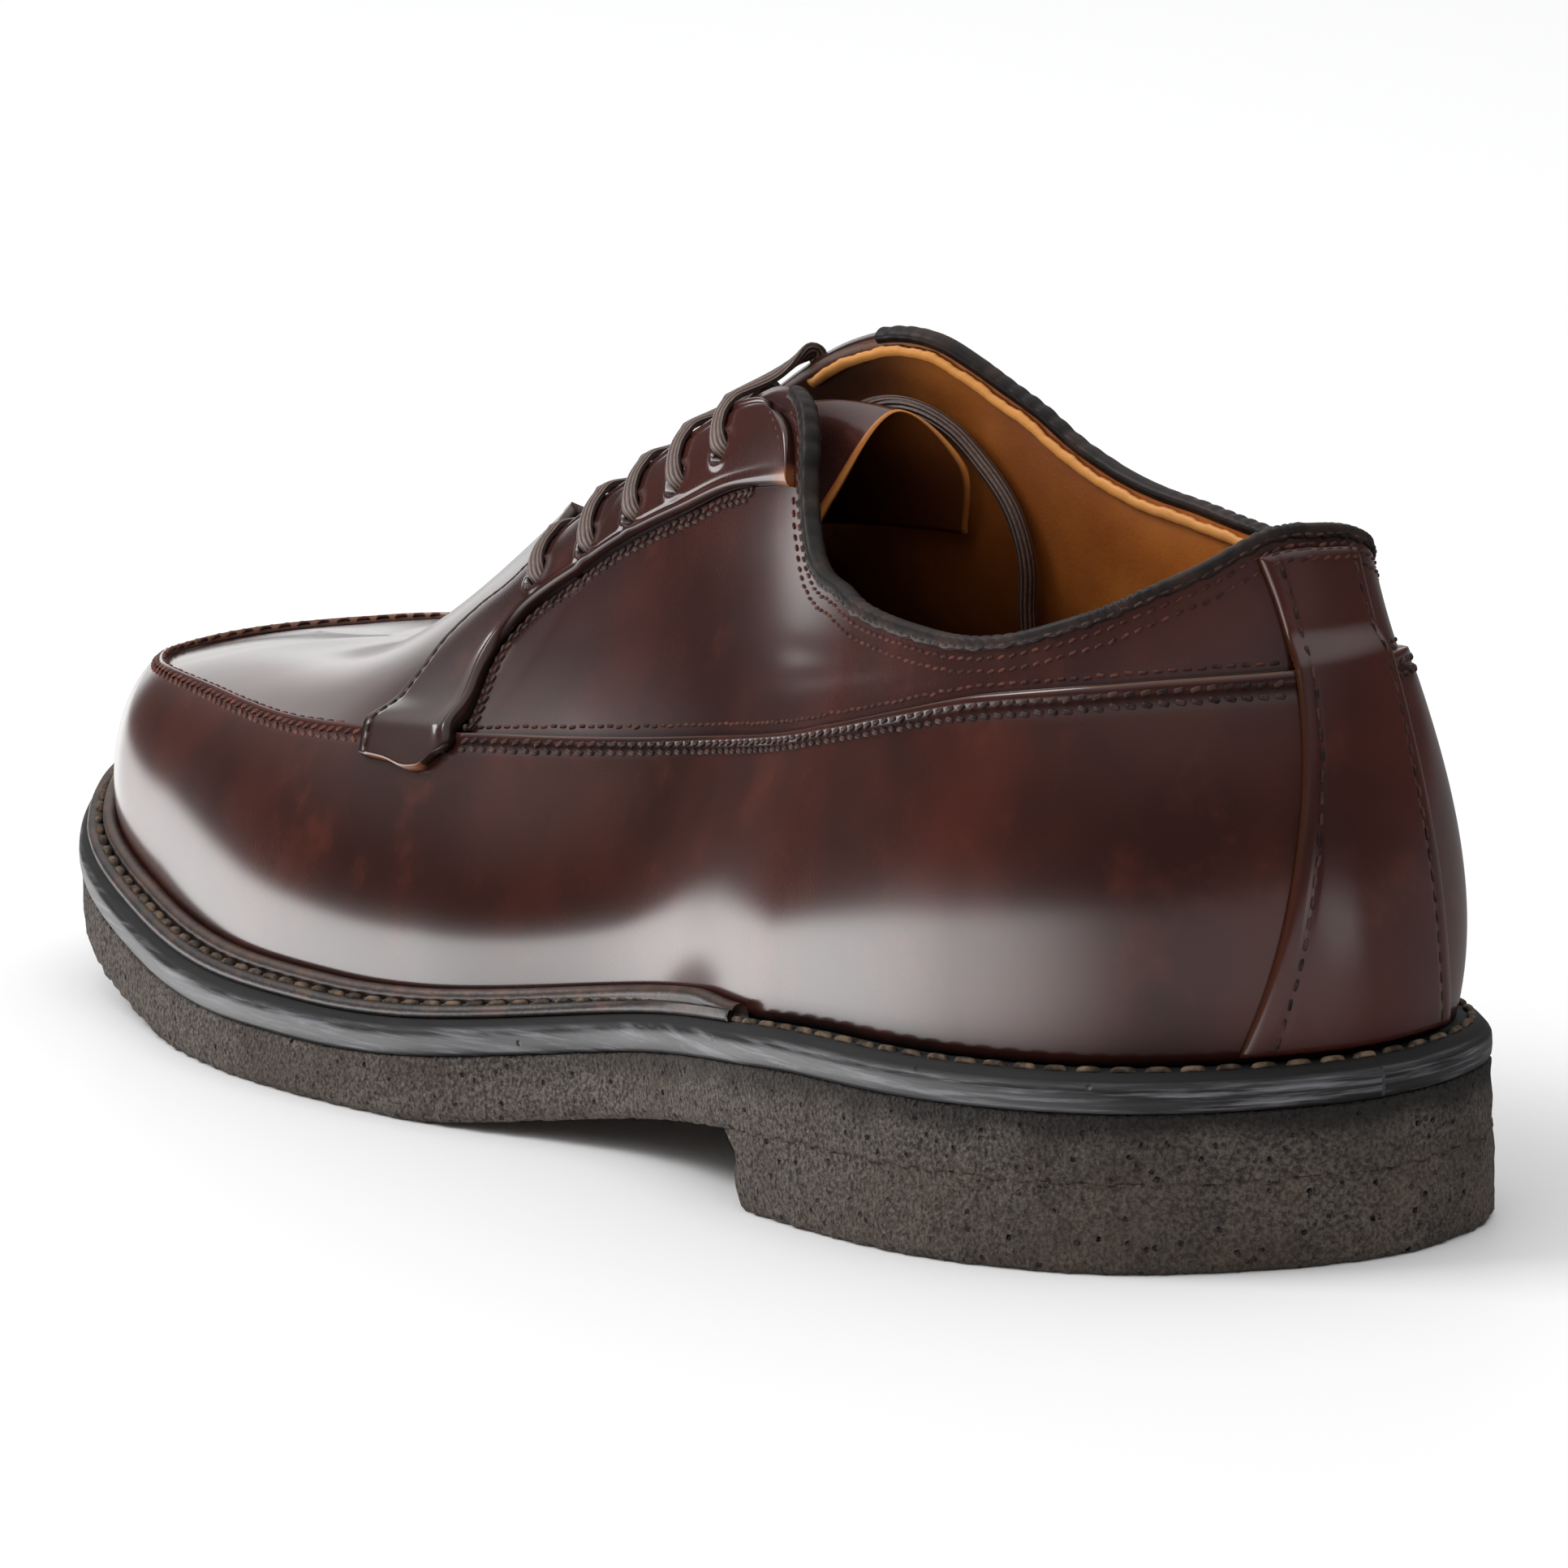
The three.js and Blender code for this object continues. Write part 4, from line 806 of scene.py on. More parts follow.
def facing(side, name, stands_for):
    """A facing strip with a rounded raised bead along its rear edge and a punched pit at each eyelet."""
    holes = skin(*eyelet_places(side, 0.5))

    def from_holes(place, height):
        spot = last_point(place, height)
        return np.linalg.norm(spot[..., None, :] - holes, axis=-1).min(-1)

    def relief(a, b, place, height):
        bead = 0.5 * np.exp(-((b - 0.955) / 0.03) ** 2) - 0.25 * np.exp(-((b - 0.88) / 0.025) ** 2)
        bead = bead * (1 - smooth(0.84, 0.94, a)) * smooth(0.03, 0.22, a)
        gap = from_holes(place, height)
        pit = -1.5 * (1 - smooth(1.75, 2.1, gap)) + 0.3 * np.exp(-((gap - 2.6) / 0.45) ** 2)
        tread = 0.3 * (1 - (2 * b - 1) ** 2) * smooth(0.0, 0.1, a) - 0.25 * np.exp(-((b - 0.1) / 0.03) ** 2)
        return bead + pit + tread

    points, faces, share, place, height = overlay(facing_patch(side), 230, 46, relief)
    gap = from_holes(place, height)
    # Painted shade: each punched hole coloured near black, as the shade down in it
    dark = 0.98 * (1 - smooth(1.9, 2.35, gap))
    edge = np.clip((0.9 - share) / 0.6, 0, 1)
    b = np.linspace(0, 1, share.shape[1])[None, :]
    rim_ink = 0.9 * (1 - smooth(0.04, 0.11, b)) * smooth(0.3, 0.5, np.linspace(0, 1, share.shape[0])[:, None])
    rim_ink = rim_ink + 0.35 * smooth(0.9, 0.96, b)
    shade = np.clip(dark + 0.75 * edge + rim_ink, 0, 1)
    # Pale where it is cut: the tab's lower end, and the top of the bead
    raw = np.zeros(share.shape)
    raw[-4:, 6:-9] = 0.45
    raw += 0.5 * (1 - smooth(0.03, 0.06, np.linspace(0, 1, len(raw))[:, None])) * smooth(0.88, 0.94, b)
    return piece(name, points, faces, [STRIP], stands_for,
                 values={"shade": both_sides(shade), "raw": both_sides(raw)})


def strap_patch(a, b):
    low, high = STRAP[0, 0], STRAP[-1, 0]
    guess = low + (high - low) * a
    outer, inner = (along(STRAP[:, i], guess, STRAP[:, 0]) for i in (1, 2))
    place = outer - (outer + inner) * b
    top = below_rim(place, 0 * place + 2.6)[1]
    return place, low + (top - low) * a


def back_strap():
    """The strap over the heel seam, flaring towards the sole, a little wavy at its top edge."""
    def relief(a, b, place, height):
        wave = 0.25 * np.sin(a * 9 + 1) * np.sin(b * math.pi)
        edge_line = -0.2 * (np.exp(-((b - 0.1) / 0.012) ** 2) + np.exp(-((b - 0.9) / 0.012) ** 2))
        return wave + edge_line

    points, faces, share, _, height = overlay(strap_patch, 150, 60, relief)
    edge = np.clip((0.9 - share) / 0.6, 0, 1)
    # Ink on the cut edges, and painted shade at the strap's foot against the sole
    shade = np.clip(0.7 * edge + 0.5 * np.exp(-(height / 0.06) ** 2), 0, 1)
    return piece("heel_strap", points, faces, [STRIP], ["back_strap"],
                 values={"shade": both_sides(shade), "raw": both_sides(0.12 * edge)})


def tube_rings(points, across, ups, wide, tall, sides=14):
    """Oval rings round a run of points, wide and tall being half the oval's axes."""
    turn = np.linspace(0, 2 * np.pi, sides + 1)[:-1]
    wide, tall = np.broadcast_to(wide, len(points)), np.broadcast_to(tall, len(points))
    return points[:, None] + across[:, None] * (np.cos(turn)[None] * wide[:, None])[..., None] \
        + ups[:, None] * (np.sin(turn)[None] * tall[:, None])[..., None]


def with_hubs(value):
    """A value for each ring point of a sweep, and 0 for the middle point of each end."""
    return np.append(value.reshape(-1), [0, 0])


def ring_sweep(rings):
    """Points and faces for rings of equal count joined one to the next, with a flat fan over each end."""
    count, width = rings.shape[:2]
    faces = grid_faces(count, width, False, True)
    points = np.concatenate([rings.reshape(-1, 3), rings[[0, -1]].mean(1)])
    turn = np.arange(width)
    after = (turn + 1) % width
    hub = np.full(width, count * width)
    start = np.stack([after, turn, hub, hub], -1)
    last = (count - 1) * width
    end = np.stack([turn + last, after + last, hub + 1, hub + 1], -1)
    return points, np.concatenate([faces, start, end])


def binding():
    """The folded binding: a U profile swept along the collar, shorter on its lining side, softly puckered."""
    path = np.linspace(-INNER_CORNER - 0.02, OUTER_CORNER + 0.02, 1700)
    point, _, normal, upward = rim(path)
    turn = np.radians(np.linspace(0, 180, 9))
    pucker = 0.1 * np.sin(path * 34) + 0.08 * np.sin(path * 61 + 1)
    fold = np.abs(np.sin(path * 47 + 2 * np.sin(path * 5))) ** 3 * (0.5 + 0.5 * np.sin(path * 7))
    thick_out, thick_in, leg = 0.45, 0.42, 1.3
    outside, inside = -GUARD_STEP + 0.02, -(GUARD_STEP + WALL) - 0.02
    low_out, low_in = below_rim(path, leg + pucker), below_rim(path, leg - 0.4)
    mid_leg = below_rim(path, leg * 0.45)
    middle, half = (outside + inside) / 2, (outside - inside) / 2
    rows = [skin(*low_out, outside), skin(*low_out, outside + thick_out * 0.55),
            skin(*below_rim(path, leg - 0.25 + pucker), outside + thick_out * 0.95),
            skin(*mid_leg, outside + thick_out)]
    for angle in turn:
        wide = middle + (half + (thick_out if angle < math.pi / 2 else thick_in)) * math.cos(angle)
        rows.append(point + upward * (0.1 + (0.7 - 0.22 * fold) * math.sin(angle))[:, None]
                    + normal * (wide - 0.12 * fold * math.cos(angle))[:, None])
    rows += [skin(*mid_leg, inside - thick_in), skin(*below_rim(path, leg - 0.7), inside - thick_in * 0.9),
             skin(*low_in, inside - thick_in * 0.4), skin(*low_in, inside)]
    rings = np.stack(rows, 1)
    points, faces = ring_sweep(rings)
    return piece("collar_edge", points, faces, [BINDING], ["collar_binding"])


def lining_edge():
    """The lining's cut edge, which shows as a ragged orange line along the inside of the binding."""
    path = np.linspace(-INNER_CORNER - 0.35, OUTER_CORNER + 0.06, 900)
    ragged = 0.08 * np.sin(path * 27) + 0.05 * np.sin(path * 71 + 2) + 0.03 * np.sin(path * 163)
    _, _, normal, upward = rim(path)
    centre = skin(*below_rim(path, 2.2 - ragged), -(GUARD_STEP + WALL) - 0.45)
    points, faces = ring_sweep(tube_rings(centre, upward, normal, 0.8 + 0.5 * ragged, 0.4, 8))
    values = {"shade": np.zeros(len(points)), "raw": np.ones(len(points))}
    return piece("lining_cut_edge", points, faces, [LINING], (), values=values)


def catmull(points, t):
    """Smooth run through a few points, by shares of their count; points may be stacks of arrays."""
    count = len(points) - 1
    index = np.clip(np.floor(t * count).astype(int), 0, count - 1)
    f = (t * count - index)
    padded = np.concatenate([2 * points[:1] - points[1:2], points, 2 * points[-1:] - points[-2:-1]])
    p0, p1, p2, p3 = (padded[index + i] for i in range(4))
    f = f.reshape(f.shape + (1,) * (points.ndim - 1))
    return 0.5 * (2 * p1 + (p2 - p0) * f + (2 * p0 - 5 * p1 + 4 * p2 - p3) * f ** 2
                  + (3 * p1 - p0 - 3 * p2 + p3) * f ** 3)


def tongue_skin(length, width, depth):
    row = length * (len(TONGUE) - 1)
    outer, inner, edge, shoulder, gap, arch = (along(TONGUE[:, i], row) for i in range(6))
    lining = GUARD_STEP + WALL + depth
    ends = [skin(outer, edge, -lining - 1.1), skin(PLACES - inner, edge, -lining - 1.1)]
    knees = [skin(outer, shoulder, -lining - gap), skin(PLACES - inner, shoulder, -lining - gap)]
    middle = (knees[0] + knees[1]) / 2 + np.stack([0 * arch, 0 * arch, arch], -1)
    return catmull(np.stack([ends[0], knees[0], middle, knees[1], ends[1]]), width)


def tongue():
    """The tongue: an arch from edge to edge under the throat, two skins a leather's thickness apart, its free
    rear edge rounded and pale where it is cut."""
    thick, back_row = 1.4, 90
    length, width = np.linspace(0, 1, 90), np.linspace(0, 1, 60)
    ripple = (0.3 * np.sin(length * 7)[None, :] * np.sin(width * 11)[:, None])[..., None] * UP
    outer_skin = tongue_skin(length, width, 0.0) + ripple
    inner_skin = tongue_skin(length, width, thick) + ripple
    middle = (outer_skin[:, -1] + inner_skin[:, -1]) / 2
    back = unit(outer_skin[:, -1] - outer_skin[:, -3])
    nose = middle + back * 0.5
    loops = np.concatenate([outer_skin.transpose(1, 0, 2), nose[None], inner_skin.transpose(1, 0, 2)[::-1]])
    rows, columns = loops.shape[:2]
    faces = grid_faces(rows, columns, True)
    left = np.arange(rows // 2)
    pairs = rows - 1 - left
    caps = []
    for column, turn in ((0, 1), (columns - 1, -1)):
        quad = np.stack([left[:-1], left[1:], pairs[1:], pairs[:-1]], -1) * columns + column
        caps.append(quad[:, ::-turn])
    faces = np.concatenate([faces] + caps)
    row = faces[:, 0] // columns
    face_material = np.where(row < back_row - 2, 0, 1)
    raw, shade = np.zeros((rows, columns)), np.zeros((rows, columns))
    # Pale where it is cut; its underside is painted dark brown as shade
    raw[back_row] = 0.8
    shade[back_row + 1:] = 0.8
    return piece("tongue_flap", loops, faces, [QUARTER, LINING], ["tongue"], face_material,
                 {"shade": shade, "raw": raw}, weld=True)


# Sole

def lumps(points, scale, seed):
    """Soft lumps in space from -1 to 1: five slanted sine waves, two pairs multiplied, then all added."""
    turn = np.random.default_rng(seed).normal(size=(5, 3)) * scale
    shift = np.random.default_rng(seed + 1).uniform(0, 6.28, 5)
    waves = np.sin(points @ turn.T + shift)
    return (waves[..., 0] * waves[..., 1] + waves[..., 2] * waves[..., 3] + waves[..., 4]) / 3


def plate(name, levels, material_made, stands_for, values, count=520, rough=0.0):
    """A plate of the sole: rings round the outline at several levels, closed across above and below.
    Each level gives how far in and how high the ring runs, from the height functions below and above it."""
    half = np.linspace(0, TOE, count // 2 + 1)
    places = np.concatenate([half, PLACES - half[::-1]])
    inset, height = levels
    rings = []
    for level in range(len(inset)):
        pull = inset[level]
        if callable(pull):
            pull = pull(outline_point(places, 0 * places)[0][:, 1])
        point, out = outline_point(places, pull + 0 * places)
        point[:, 2] = height[level](point[:, 1])
        if rough:
            point += out * (rough * lumps(point, 0.9, 3) + 0.6 * rough * lumps(point, 2.3, 5))[:, None]
            if level < 3:
                point += out * (0.35 * lumps(point, 1.4, 7))[:, None]
                point[:, 2] += 0.3 * np.abs(lumps(point, 1.1, 8))
        rings.append(point)
    rings = np.stack(rings)
    width = rings.shape[1]
    faces = grid_faces(len(rings), width, False, False)
    across = np.arange(count // 2)
    caps = [np.stack([across, across + 1, width - 2 - across, width - 1 - across], -1) + level * width
            for level in (0, len(rings) - 1)]
    faces = np.concatenate([faces, caps[0], caps[1][:, ::-1]])
    span = np.concatenate([[0], np.cumsum(np.linalg.norm(np.diff(rings[-1], axis=0), axis=1))]) * MM
    uv = np.stack([np.broadcast_to(span, rings.shape[:2]), rings[..., 2] * MM], -1)
    painted = {key: make(rings) for key, make in values.items()}
    return piece(name, rings, faces, [material_made], stands_for, values=painted, uv=uv, weld=True)


def outsole():
    """The crepe sheet: side levels from its cut lower edge to its upper edge, dark with ink, rough all over."""
    def level(share):
        return lambda y: crepe_bottom(y) + (crepe_top(y) - 0.1 - crepe_bottom(y)) * share
    shares = [0, 0, 0.06, 0.15, 0.3, 0.45, 0.6, 0.72, 0.82, 0.9, 0.96, 1, 1]
    inset = [9, 1.3, 0.75, 0.45, 0.35, 0.3, 0.3, 0.35, 0.35, 0.3, 0.35, 0.7, 6]
    breast = -SOLE_LENGTH / 2 + HEEL_LENGTH
    inset[1] = lambda y: 0.35 + 0.95 * smooth(breast - 1, breast, y)
    inset[2] = lambda y: 0.35 + 0.4 * smooth(breast - 1, breast, y)
    # Shade: edge ink on top, and painted shade towards the heel
    values = {"shade": edge_ink_and_shade, "wear": worn}
    return plate("crepe_sheet", (inset, [level(s) for s in shares]), CREPE, ["outsole"], values, 900, 0.2)


def edge_ink_and_shade(rings):
    """Dark edge ink on the crepe's top three millimetres, ragged below and fading from the heel forwards, with
    the painted shade towards the heel added on.
    """
    below = crepe_top(rings[..., 1]) - rings[..., 2]
    limit = 3.0 + 1.4 * lumps(rings, 0.25, 9)
    ink = 0.55 * (1 - smooth(limit - 1.6, limit + 1.6, below)) * (1 - 0.85 * smooth(-60, 30, rings[..., 1]))
    return ink + heel_shade(rings)


def heel_shade(rings):
    """Painted shade: the crepe darkens towards the back of the heel, where less light falls."""
    return 0.36 * (1 - smooth(-150, -20, rings[..., 1]))


def worn(rings):
    """Tan scuffing low on the edge near the toe and along the ground."""
    near_floor = 1 - smooth(0.0, 3.0, rings[..., 2] - crepe_bottom(rings[..., 1]))
    toe = smooth(90, 140, rings[..., 1])
    return np.clip(0.5 * near_floor * (0.3 + 0.7 * toe) * (0.5 + 0.8 * lumps(rings, 0.5, 11)), 0, 1)


def heel_block():
    """The heel block under the sheet: levels up the sides, its front face concave with a fillet at the top."""
    breast = -SOLE_LENGTH / 2 + HEEL_LENGTH
    shares = np.array([0, 0, 0.05, 0.15, 0.3, 0.45, 0.56, 0.6, 0.64, 0.75, 0.88, 1, 1])
    inset = np.array([9, 1.3, 0.75, 0.5, 0.4, 0.35, 0.35, 0.4, 0.35, 0.35, 0.35, 0.35, 6])
    rings = []
    for share, pull in zip(shares, inset):
        front = breast + 2.6 * smooth(0.6, 1.0, share) ** 2 - max(pull - 0.35, 0)
        ends = []
        for low, high in ((1.0, 5.0), (19.0, 15.0)):
            for _ in range(40):
                mid = (low + high) / 2
                if outline_point(mid, pull)[0][1] < front:
                    low = mid
                else:
                    high = mid
            ends.append(low)
        outer = np.linspace(0, ends[0], 150)
        inner = np.linspace(ends[1], PLACES, 150)
        side, out = outline_point(np.concatenate([outer, inner]), pull + 0 * np.concatenate([outer, inner]))
        cross = np.linspace(0, 1, 42)[1:-1, None]
        straight = side[149] * (1 - cross) + side[150] * cross
        ring = np.concatenate([side[:150], straight, side[150:-1]])
        way = np.concatenate([out[:150], np.broadcast_to([0, 1.0, 0], straight.shape), out[150:-1]])
        ring[:, 2] = share * (crepe_bottom(ring[:, 1]) + 0.25)
        ring += way * (0.2 * lumps(ring, 0.9, 3) + 0.12 * lumps(ring, 2.3, 5))[:, None]
        if share < 0.1 and pull < 9:
            ring += way * (0.4 * lumps(ring, 1.4, 7))[:, None]
            ring[:, 2] += 0.35 * np.abs(lumps(ring, 1.1, 8))
        rings.append(ring)
    rings = np.stack(rings)
    width = rings.shape[1]
    faces = grid_faces(len(rings), width, False, True)
    hubs = rings[[0, -1]].mean(1)
    hubs[:, 2] = rings[[0, -1], :, 2].mean(1)
    points = np.concatenate([rings.reshape(-1, 3), hubs])
    turn = np.arange(width)
    after = (turn + 1) % width
    hub = np.full(width, len(rings) * width)
    last = (len(rings) - 1) * width
    caps = [np.stack([after, turn, hub, hub], -1), np.stack([turn + last, after + last, hub + 1, hub + 1], -1)]
    # Painted shade, darker towards the back of the heel
    values = {"shade": np.append(heel_shade(rings).reshape(-1), [0, 0]),
              "wear": np.append(worn(rings).reshape(-1), [0, 0])}
    return piece("crepe_heel", points, np.concatenate([faces] + caps), [CREPE], ["heel"], values=values)


def midsole():
    """The midsole's dressed edge: upright to past its middle, then a matt black bevel leaning in."""
    low, high = (lambda y: crepe_top(y) + 0.05), sole_top
    shares = [0, 0, 0.1, 0.3, 0.5, 0.6, 0.68, 0.8, 0.9, 0.97, 1, 1, 1]
    inset = [4, 0.45, 0.15, 0, 0, 0.05, 0.25, 0.75, 1.2, 1.7, 2.3, 4, 12]
    heights = [lambda y, s=s: low(y) + (high(y) - low(y)) * s for s in shares]
    bevel = smooth(0.1, 0.6, np.array(inset))[:, None]
    values = {"shade": lambda rings: bevel + 0 * rings[..., 0]}
    return plate("midsole_edge", (inset, heights), EDGE, ["midsole"], values, 900)



def welt():
    """The storm welt: a flat strip round the forefoot whose inner edge stands up as a round bead."""
    place = np.linspace(WELT_START, WELT_END, 620)
    foot, out = feather(place)
    rise = np.linalg.norm(last_point(place, 1.0) - foot, axis=-1)
    fade = smooth(WELT_START, WELT_START + 0.35, place) * (1 - smooth(WELT_END - 0.35, WELT_END, place))

    def raised(point, lift):
        point = point.copy()
        point[:, 2] = sole_top(point[:, 1]) + lift
        return point

    def wall(lift):
        return raised(skin(place, lift / rise, 0.05 + 0 * place), lift)
    height = 2.2 + 1.3 * fade
    turn = np.radians(np.linspace(170, -40, 9))
    centre = raised(wall(height - 1.1) + out * 1.0, height - 1.1)
    bead = [centre + out * (1.15 * math.cos(a)) + np.stack([0 * place, 0 * place, 0 * place + 1.15 * math.sin(a)], -1)
            for a in turn]
    rim_point, _ = outline_point(place, 1.5 + 0 * place)
    flat = wall(height)[:, :] + out * 2.1
    rows = [raised(wall(0.0 * height), 0 * height + 0.02), raised(rim_point, 0 * height + 0.02),
            raised(rim_point + out * 0.15, 0 * height + 0.7), raised(rim_point - out * 0.25, 0 * height + 1.45),
            raised((rim_point + flat) / 2, 0 * height + 1.6), raised(flat, 0 * height + 1.35)]
    rows += bead[::-1]
    rings = np.stack(rows, 1)
    points, faces = ring_sweep(rings)
    shade = np.zeros((len(place), len(rows)))
    # Painted shade in the groove between flat and bead and under the strip; the bead's crest rubbed tan
    shade[:, 5:7] = 0.9
    shade[:, 0:2] = 0.5
    wear = np.zeros(shade.shape)
    wear[:, 9:12] = 0.35
    values = {"shade": np.append(shade.reshape(-1), [0, 0]), "wear": np.append(wear.reshape(-1), [0, 0])}
    return piece("storm_welt_bead", points, faces, [WELT], ["storm_welt"], values=values)


# Threads and laces

def stitches(name, spots, ways, ups, length, radius, made, sink=0.25, flat=0.7):
    """A row of stitches: each a short capsule of thread lying along its way, its ends sunk into the leather."""
    around_steps, along_steps = 7, 9
    t = np.linspace(-1, 1, along_steps)
    turn = np.linspace(0, 2 * np.pi, around_steps + 1)[:-1]
    thick = np.sqrt(np.clip(1 - np.abs(t) ** 6, 0.02, 1))
    side = np.cross(ways, ups)
    length = np.broadcast_to(length, (len(spots),))[:, None, None, None]
    spine = spots[:, None, None, :] + ways[:, None, None, :] * (t[None, :, None, None] * length / 2)
    spine = spine - ups[:, None, None, :] * (sink * radius * 3 * t ** 4)[None, :, None, None]
    ring = side[:, None, None, :] * np.cos(turn)[None, None, :, None] \
        + ups[:, None, None, :] * (flat * np.sin(turn))[None, None, :, None]
    points = spine + ring * (radius * thick)[None, :, None, None]
    one = grid_faces(along_steps, around_steps, False, True)
    size = along_steps * around_steps
    cap = np.array([[0, 1, 2, 3], [0, 3, 4, 5], [0, 5, 6, 6]])
    end = cap[:, ::-1] + (along_steps - 1) * around_steps
    one = np.concatenate([one, cap, end])
    faces = (one[None] + (np.arange(len(spots)) * size)[:, None, None]).reshape(-1, 4)
    return piece(name, points, faces, [made], ())


def stitch_row(name, place, height, offset, pitch, radius, made, slot, fill=0.72, tilt=0.0, jitter=0.12):
    """Stitches at even pitch along a line of places and heights on the last."""
    points, normals = skin(place, height, offset), last_normal(place, height)
    spots, ways, at = spread(points, pitch)
    lengths = np.concatenate([[0], np.cumsum(np.linalg.norm(np.diff(points, axis=0), axis=1))])
    ups = unit(np.stack([np.interp(at, lengths, normals[:, i]) for i in range(3)], -1))
    ways = unit(ways - ups * (ways * ups).sum(-1, keepdims=True))
    chance = np.random.default_rng(len(name)).normal(size=len(spots))[:, None]
    ways = unit(ways + np.cross(ups, ways) * (tilt + jitter * chance * 0.6))
    return stitches(name, spots + np.cross(ups, ways) * chance * jitter * 0.5, ways, ups, pitch * fill, radius, made)


def seam_rows():
    """The seams of the upper, each along its own line on the last."""
    outer, inner = np.linspace(0.28, 5.02, 700), np.linspace(14.96, 19.4, 700)
    # Heavy plaited double row in the guard, just below its raw edge
    for tag, run in (("outer", outer), ("inner", inner)):
        for index, height in enumerate((0.971, 0.939)):
            stitch_row(f"guard_row_{tag}_{index + 1}", run, height + 0 * run, 0.05 + 0 * run, 2.15, 0.37,
                       SEAM_THREAD, "lace", 0.78, 0.3 - 0.6 * index)
        stitch_row(f"quarter_row_{tag}", run, 1.036 + 0 * run, -GUARD_STEP + 0.1 + 0 * run, 1.9, 0.25,
                   RED_THREAD, "lace")
    # Round the toe the same rows are waxed to the leather's colour
    toe = np.linspace(5.6, 14.4, 1400)
    for index, height in enumerate((0.968, 0.936)):
        stitch_row(f"toe_row_{index + 1}", toe, height + 0 * toe, 0.02 + 0 * toe, 2.3, 0.32, TOE_THREAD, "lace",
                   0.8, 0.4 - 0.8 * index)
    # Apron: short stitches over the seam's edge
    apron = np.linspace(5.75, 14.25, 1200)
    stitch_row("apron_row", apron, 1.0 + 0 * apron, -0.3 + 0 * apron, 2.9, 0.42, TOE_THREAD, "lace", 0.72, 0.2)


def facing_rows():
    """Rows along the facings: inside the lacing edge, inside the rear bead, and double just behind it."""
    for side, tag in ((1, "outer"), (-1, "inner")):
        patch = facing_patch(side)
        front = np.linspace(0.42, 0.97, 500)
        place, height = patch(front, 0.09 + 0 * front)
        stitch_row(f"facing_front_{tag}", place, height, bridge_level(height) + 1.44, 2.2, 0.36, SEAM_THREAD, "lace",
                   0.75)
        inside = np.linspace(0.03, 0.5, 400)
        place, height = patch(inside, 0.83 + 0 * inside)
        stitch_row(f"facing_inside_{tag}", place, height, bridge_level(height) + 1.3, 2.0, 0.22, RED_THREAD, "lace")
        behind = np.linspace(0.03, 0.86, 900)
        place, height = patch(behind, 1.0 + 0 * behind)
        rear_way = unit(last_point(place - 0.02 * side, height) - last_point(place, height))
        run = unit(np.gradient(last_point(place, height), axis=0))
        away = unit(rear_way - run * (rear_way * run).sum(-1, keepdims=True))
        for index, distance in enumerate((0.75, 1.75)):
            beside, beside_height = moved(place, height, away * distance)
            stitch_row(f"facing_behind_{tag}_{index + 1}", beside, beside_height,
                       cover_level(beside_height) + 0.1, 1.9, 0.38, SEAM_THREAD, "lace", 0.85, 0.5 - index)
        start = patch(np.linspace(0.035, 0.035, 80), np.linspace(0.1, 0.9, 80))
        stitch_row(f"facing_top_{tag}", *start, cover_level(start[1]) + 1.45, 2.1, 0.24, SEAM_THREAD, "lace")


def collar_rows():
    """Two rows below the binding, one dark on its edge and one red brown on the quarter."""
    path = np.linspace(-INNER_CORNER + 0.05, OUTER_CORNER - 0.05, 1600)
    place, height = below_rim(path, 0.85 + 0 * path)
    stitch_row("binding_row", place, height, -GUARD_STEP + 0.47 + 0 * path, 1.9, 0.2, SEAM_THREAD, "lace", 0.75)
    lift = 1.4 * ((path > -0.57) & (path < 0.38))
    for index, distance in enumerate((2.3, 4.0)):
        run = path if index == 0 else path[(path > -3.7) & (path < 3.75)]
        place, height = below_rim(run, distance + 0 * run)
        level = -GUARD_STEP + 0.1 + (lift if index == 0 else lift[(path > -3.7) & (path < 3.75)])
        stitch_row(f"collar_row_{index + 1}", place, height, level, 1.9, 0.23, RED_THREAD, "lace", 0.7, 0.2)


def strap_rows():
    a = np.linspace(0.01, 0.97, 700)
    for index, b in enumerate((0.1, 0.9)):
        place, height = strap_patch(a, b + 0 * a)
        stitch_row(f"strap_row_{index + 1}", place, height, bridge_level(height) + 1.42, 2.7, 0.28, SEAM_THREAD, "lace")


def welt_rows():
    """The sole's stitches: on the welt's flat in front, and straight on the black midsole round the heel."""
    place = np.linspace(WELT_START + 0.15, WELT_END - 0.15, 1500)
    point, _ = outline_point(place, 3.1 + 0 * place)
    point[:, 2] = sole_top(point[:, 1]) + 1.75
    spots, ways, _ = spread(point, 4.2)
    up = np.broadcast_to([0, 0, 1.0], spots.shape)
    stitches("welt_stitches", spots, ways, up, 3.3, 0.62, WELT_THREAD)
    place = np.linspace(WELT_END - 0.1, PLACES + WELT_START + 0.05, 900)
    point, _ = outline_point(place, 2.6 + 0 * place)
    point[:, 2] = sole_top(point[:, 1]) + 0.25
    spots, ways, _ = spread(point, 4.6)
    up = np.broadcast_to([0, 0, 1.0], spots.shape)
    stitches("heel_stitches", spots, ways, up, 3.7, 0.6, WELT_THREAD)


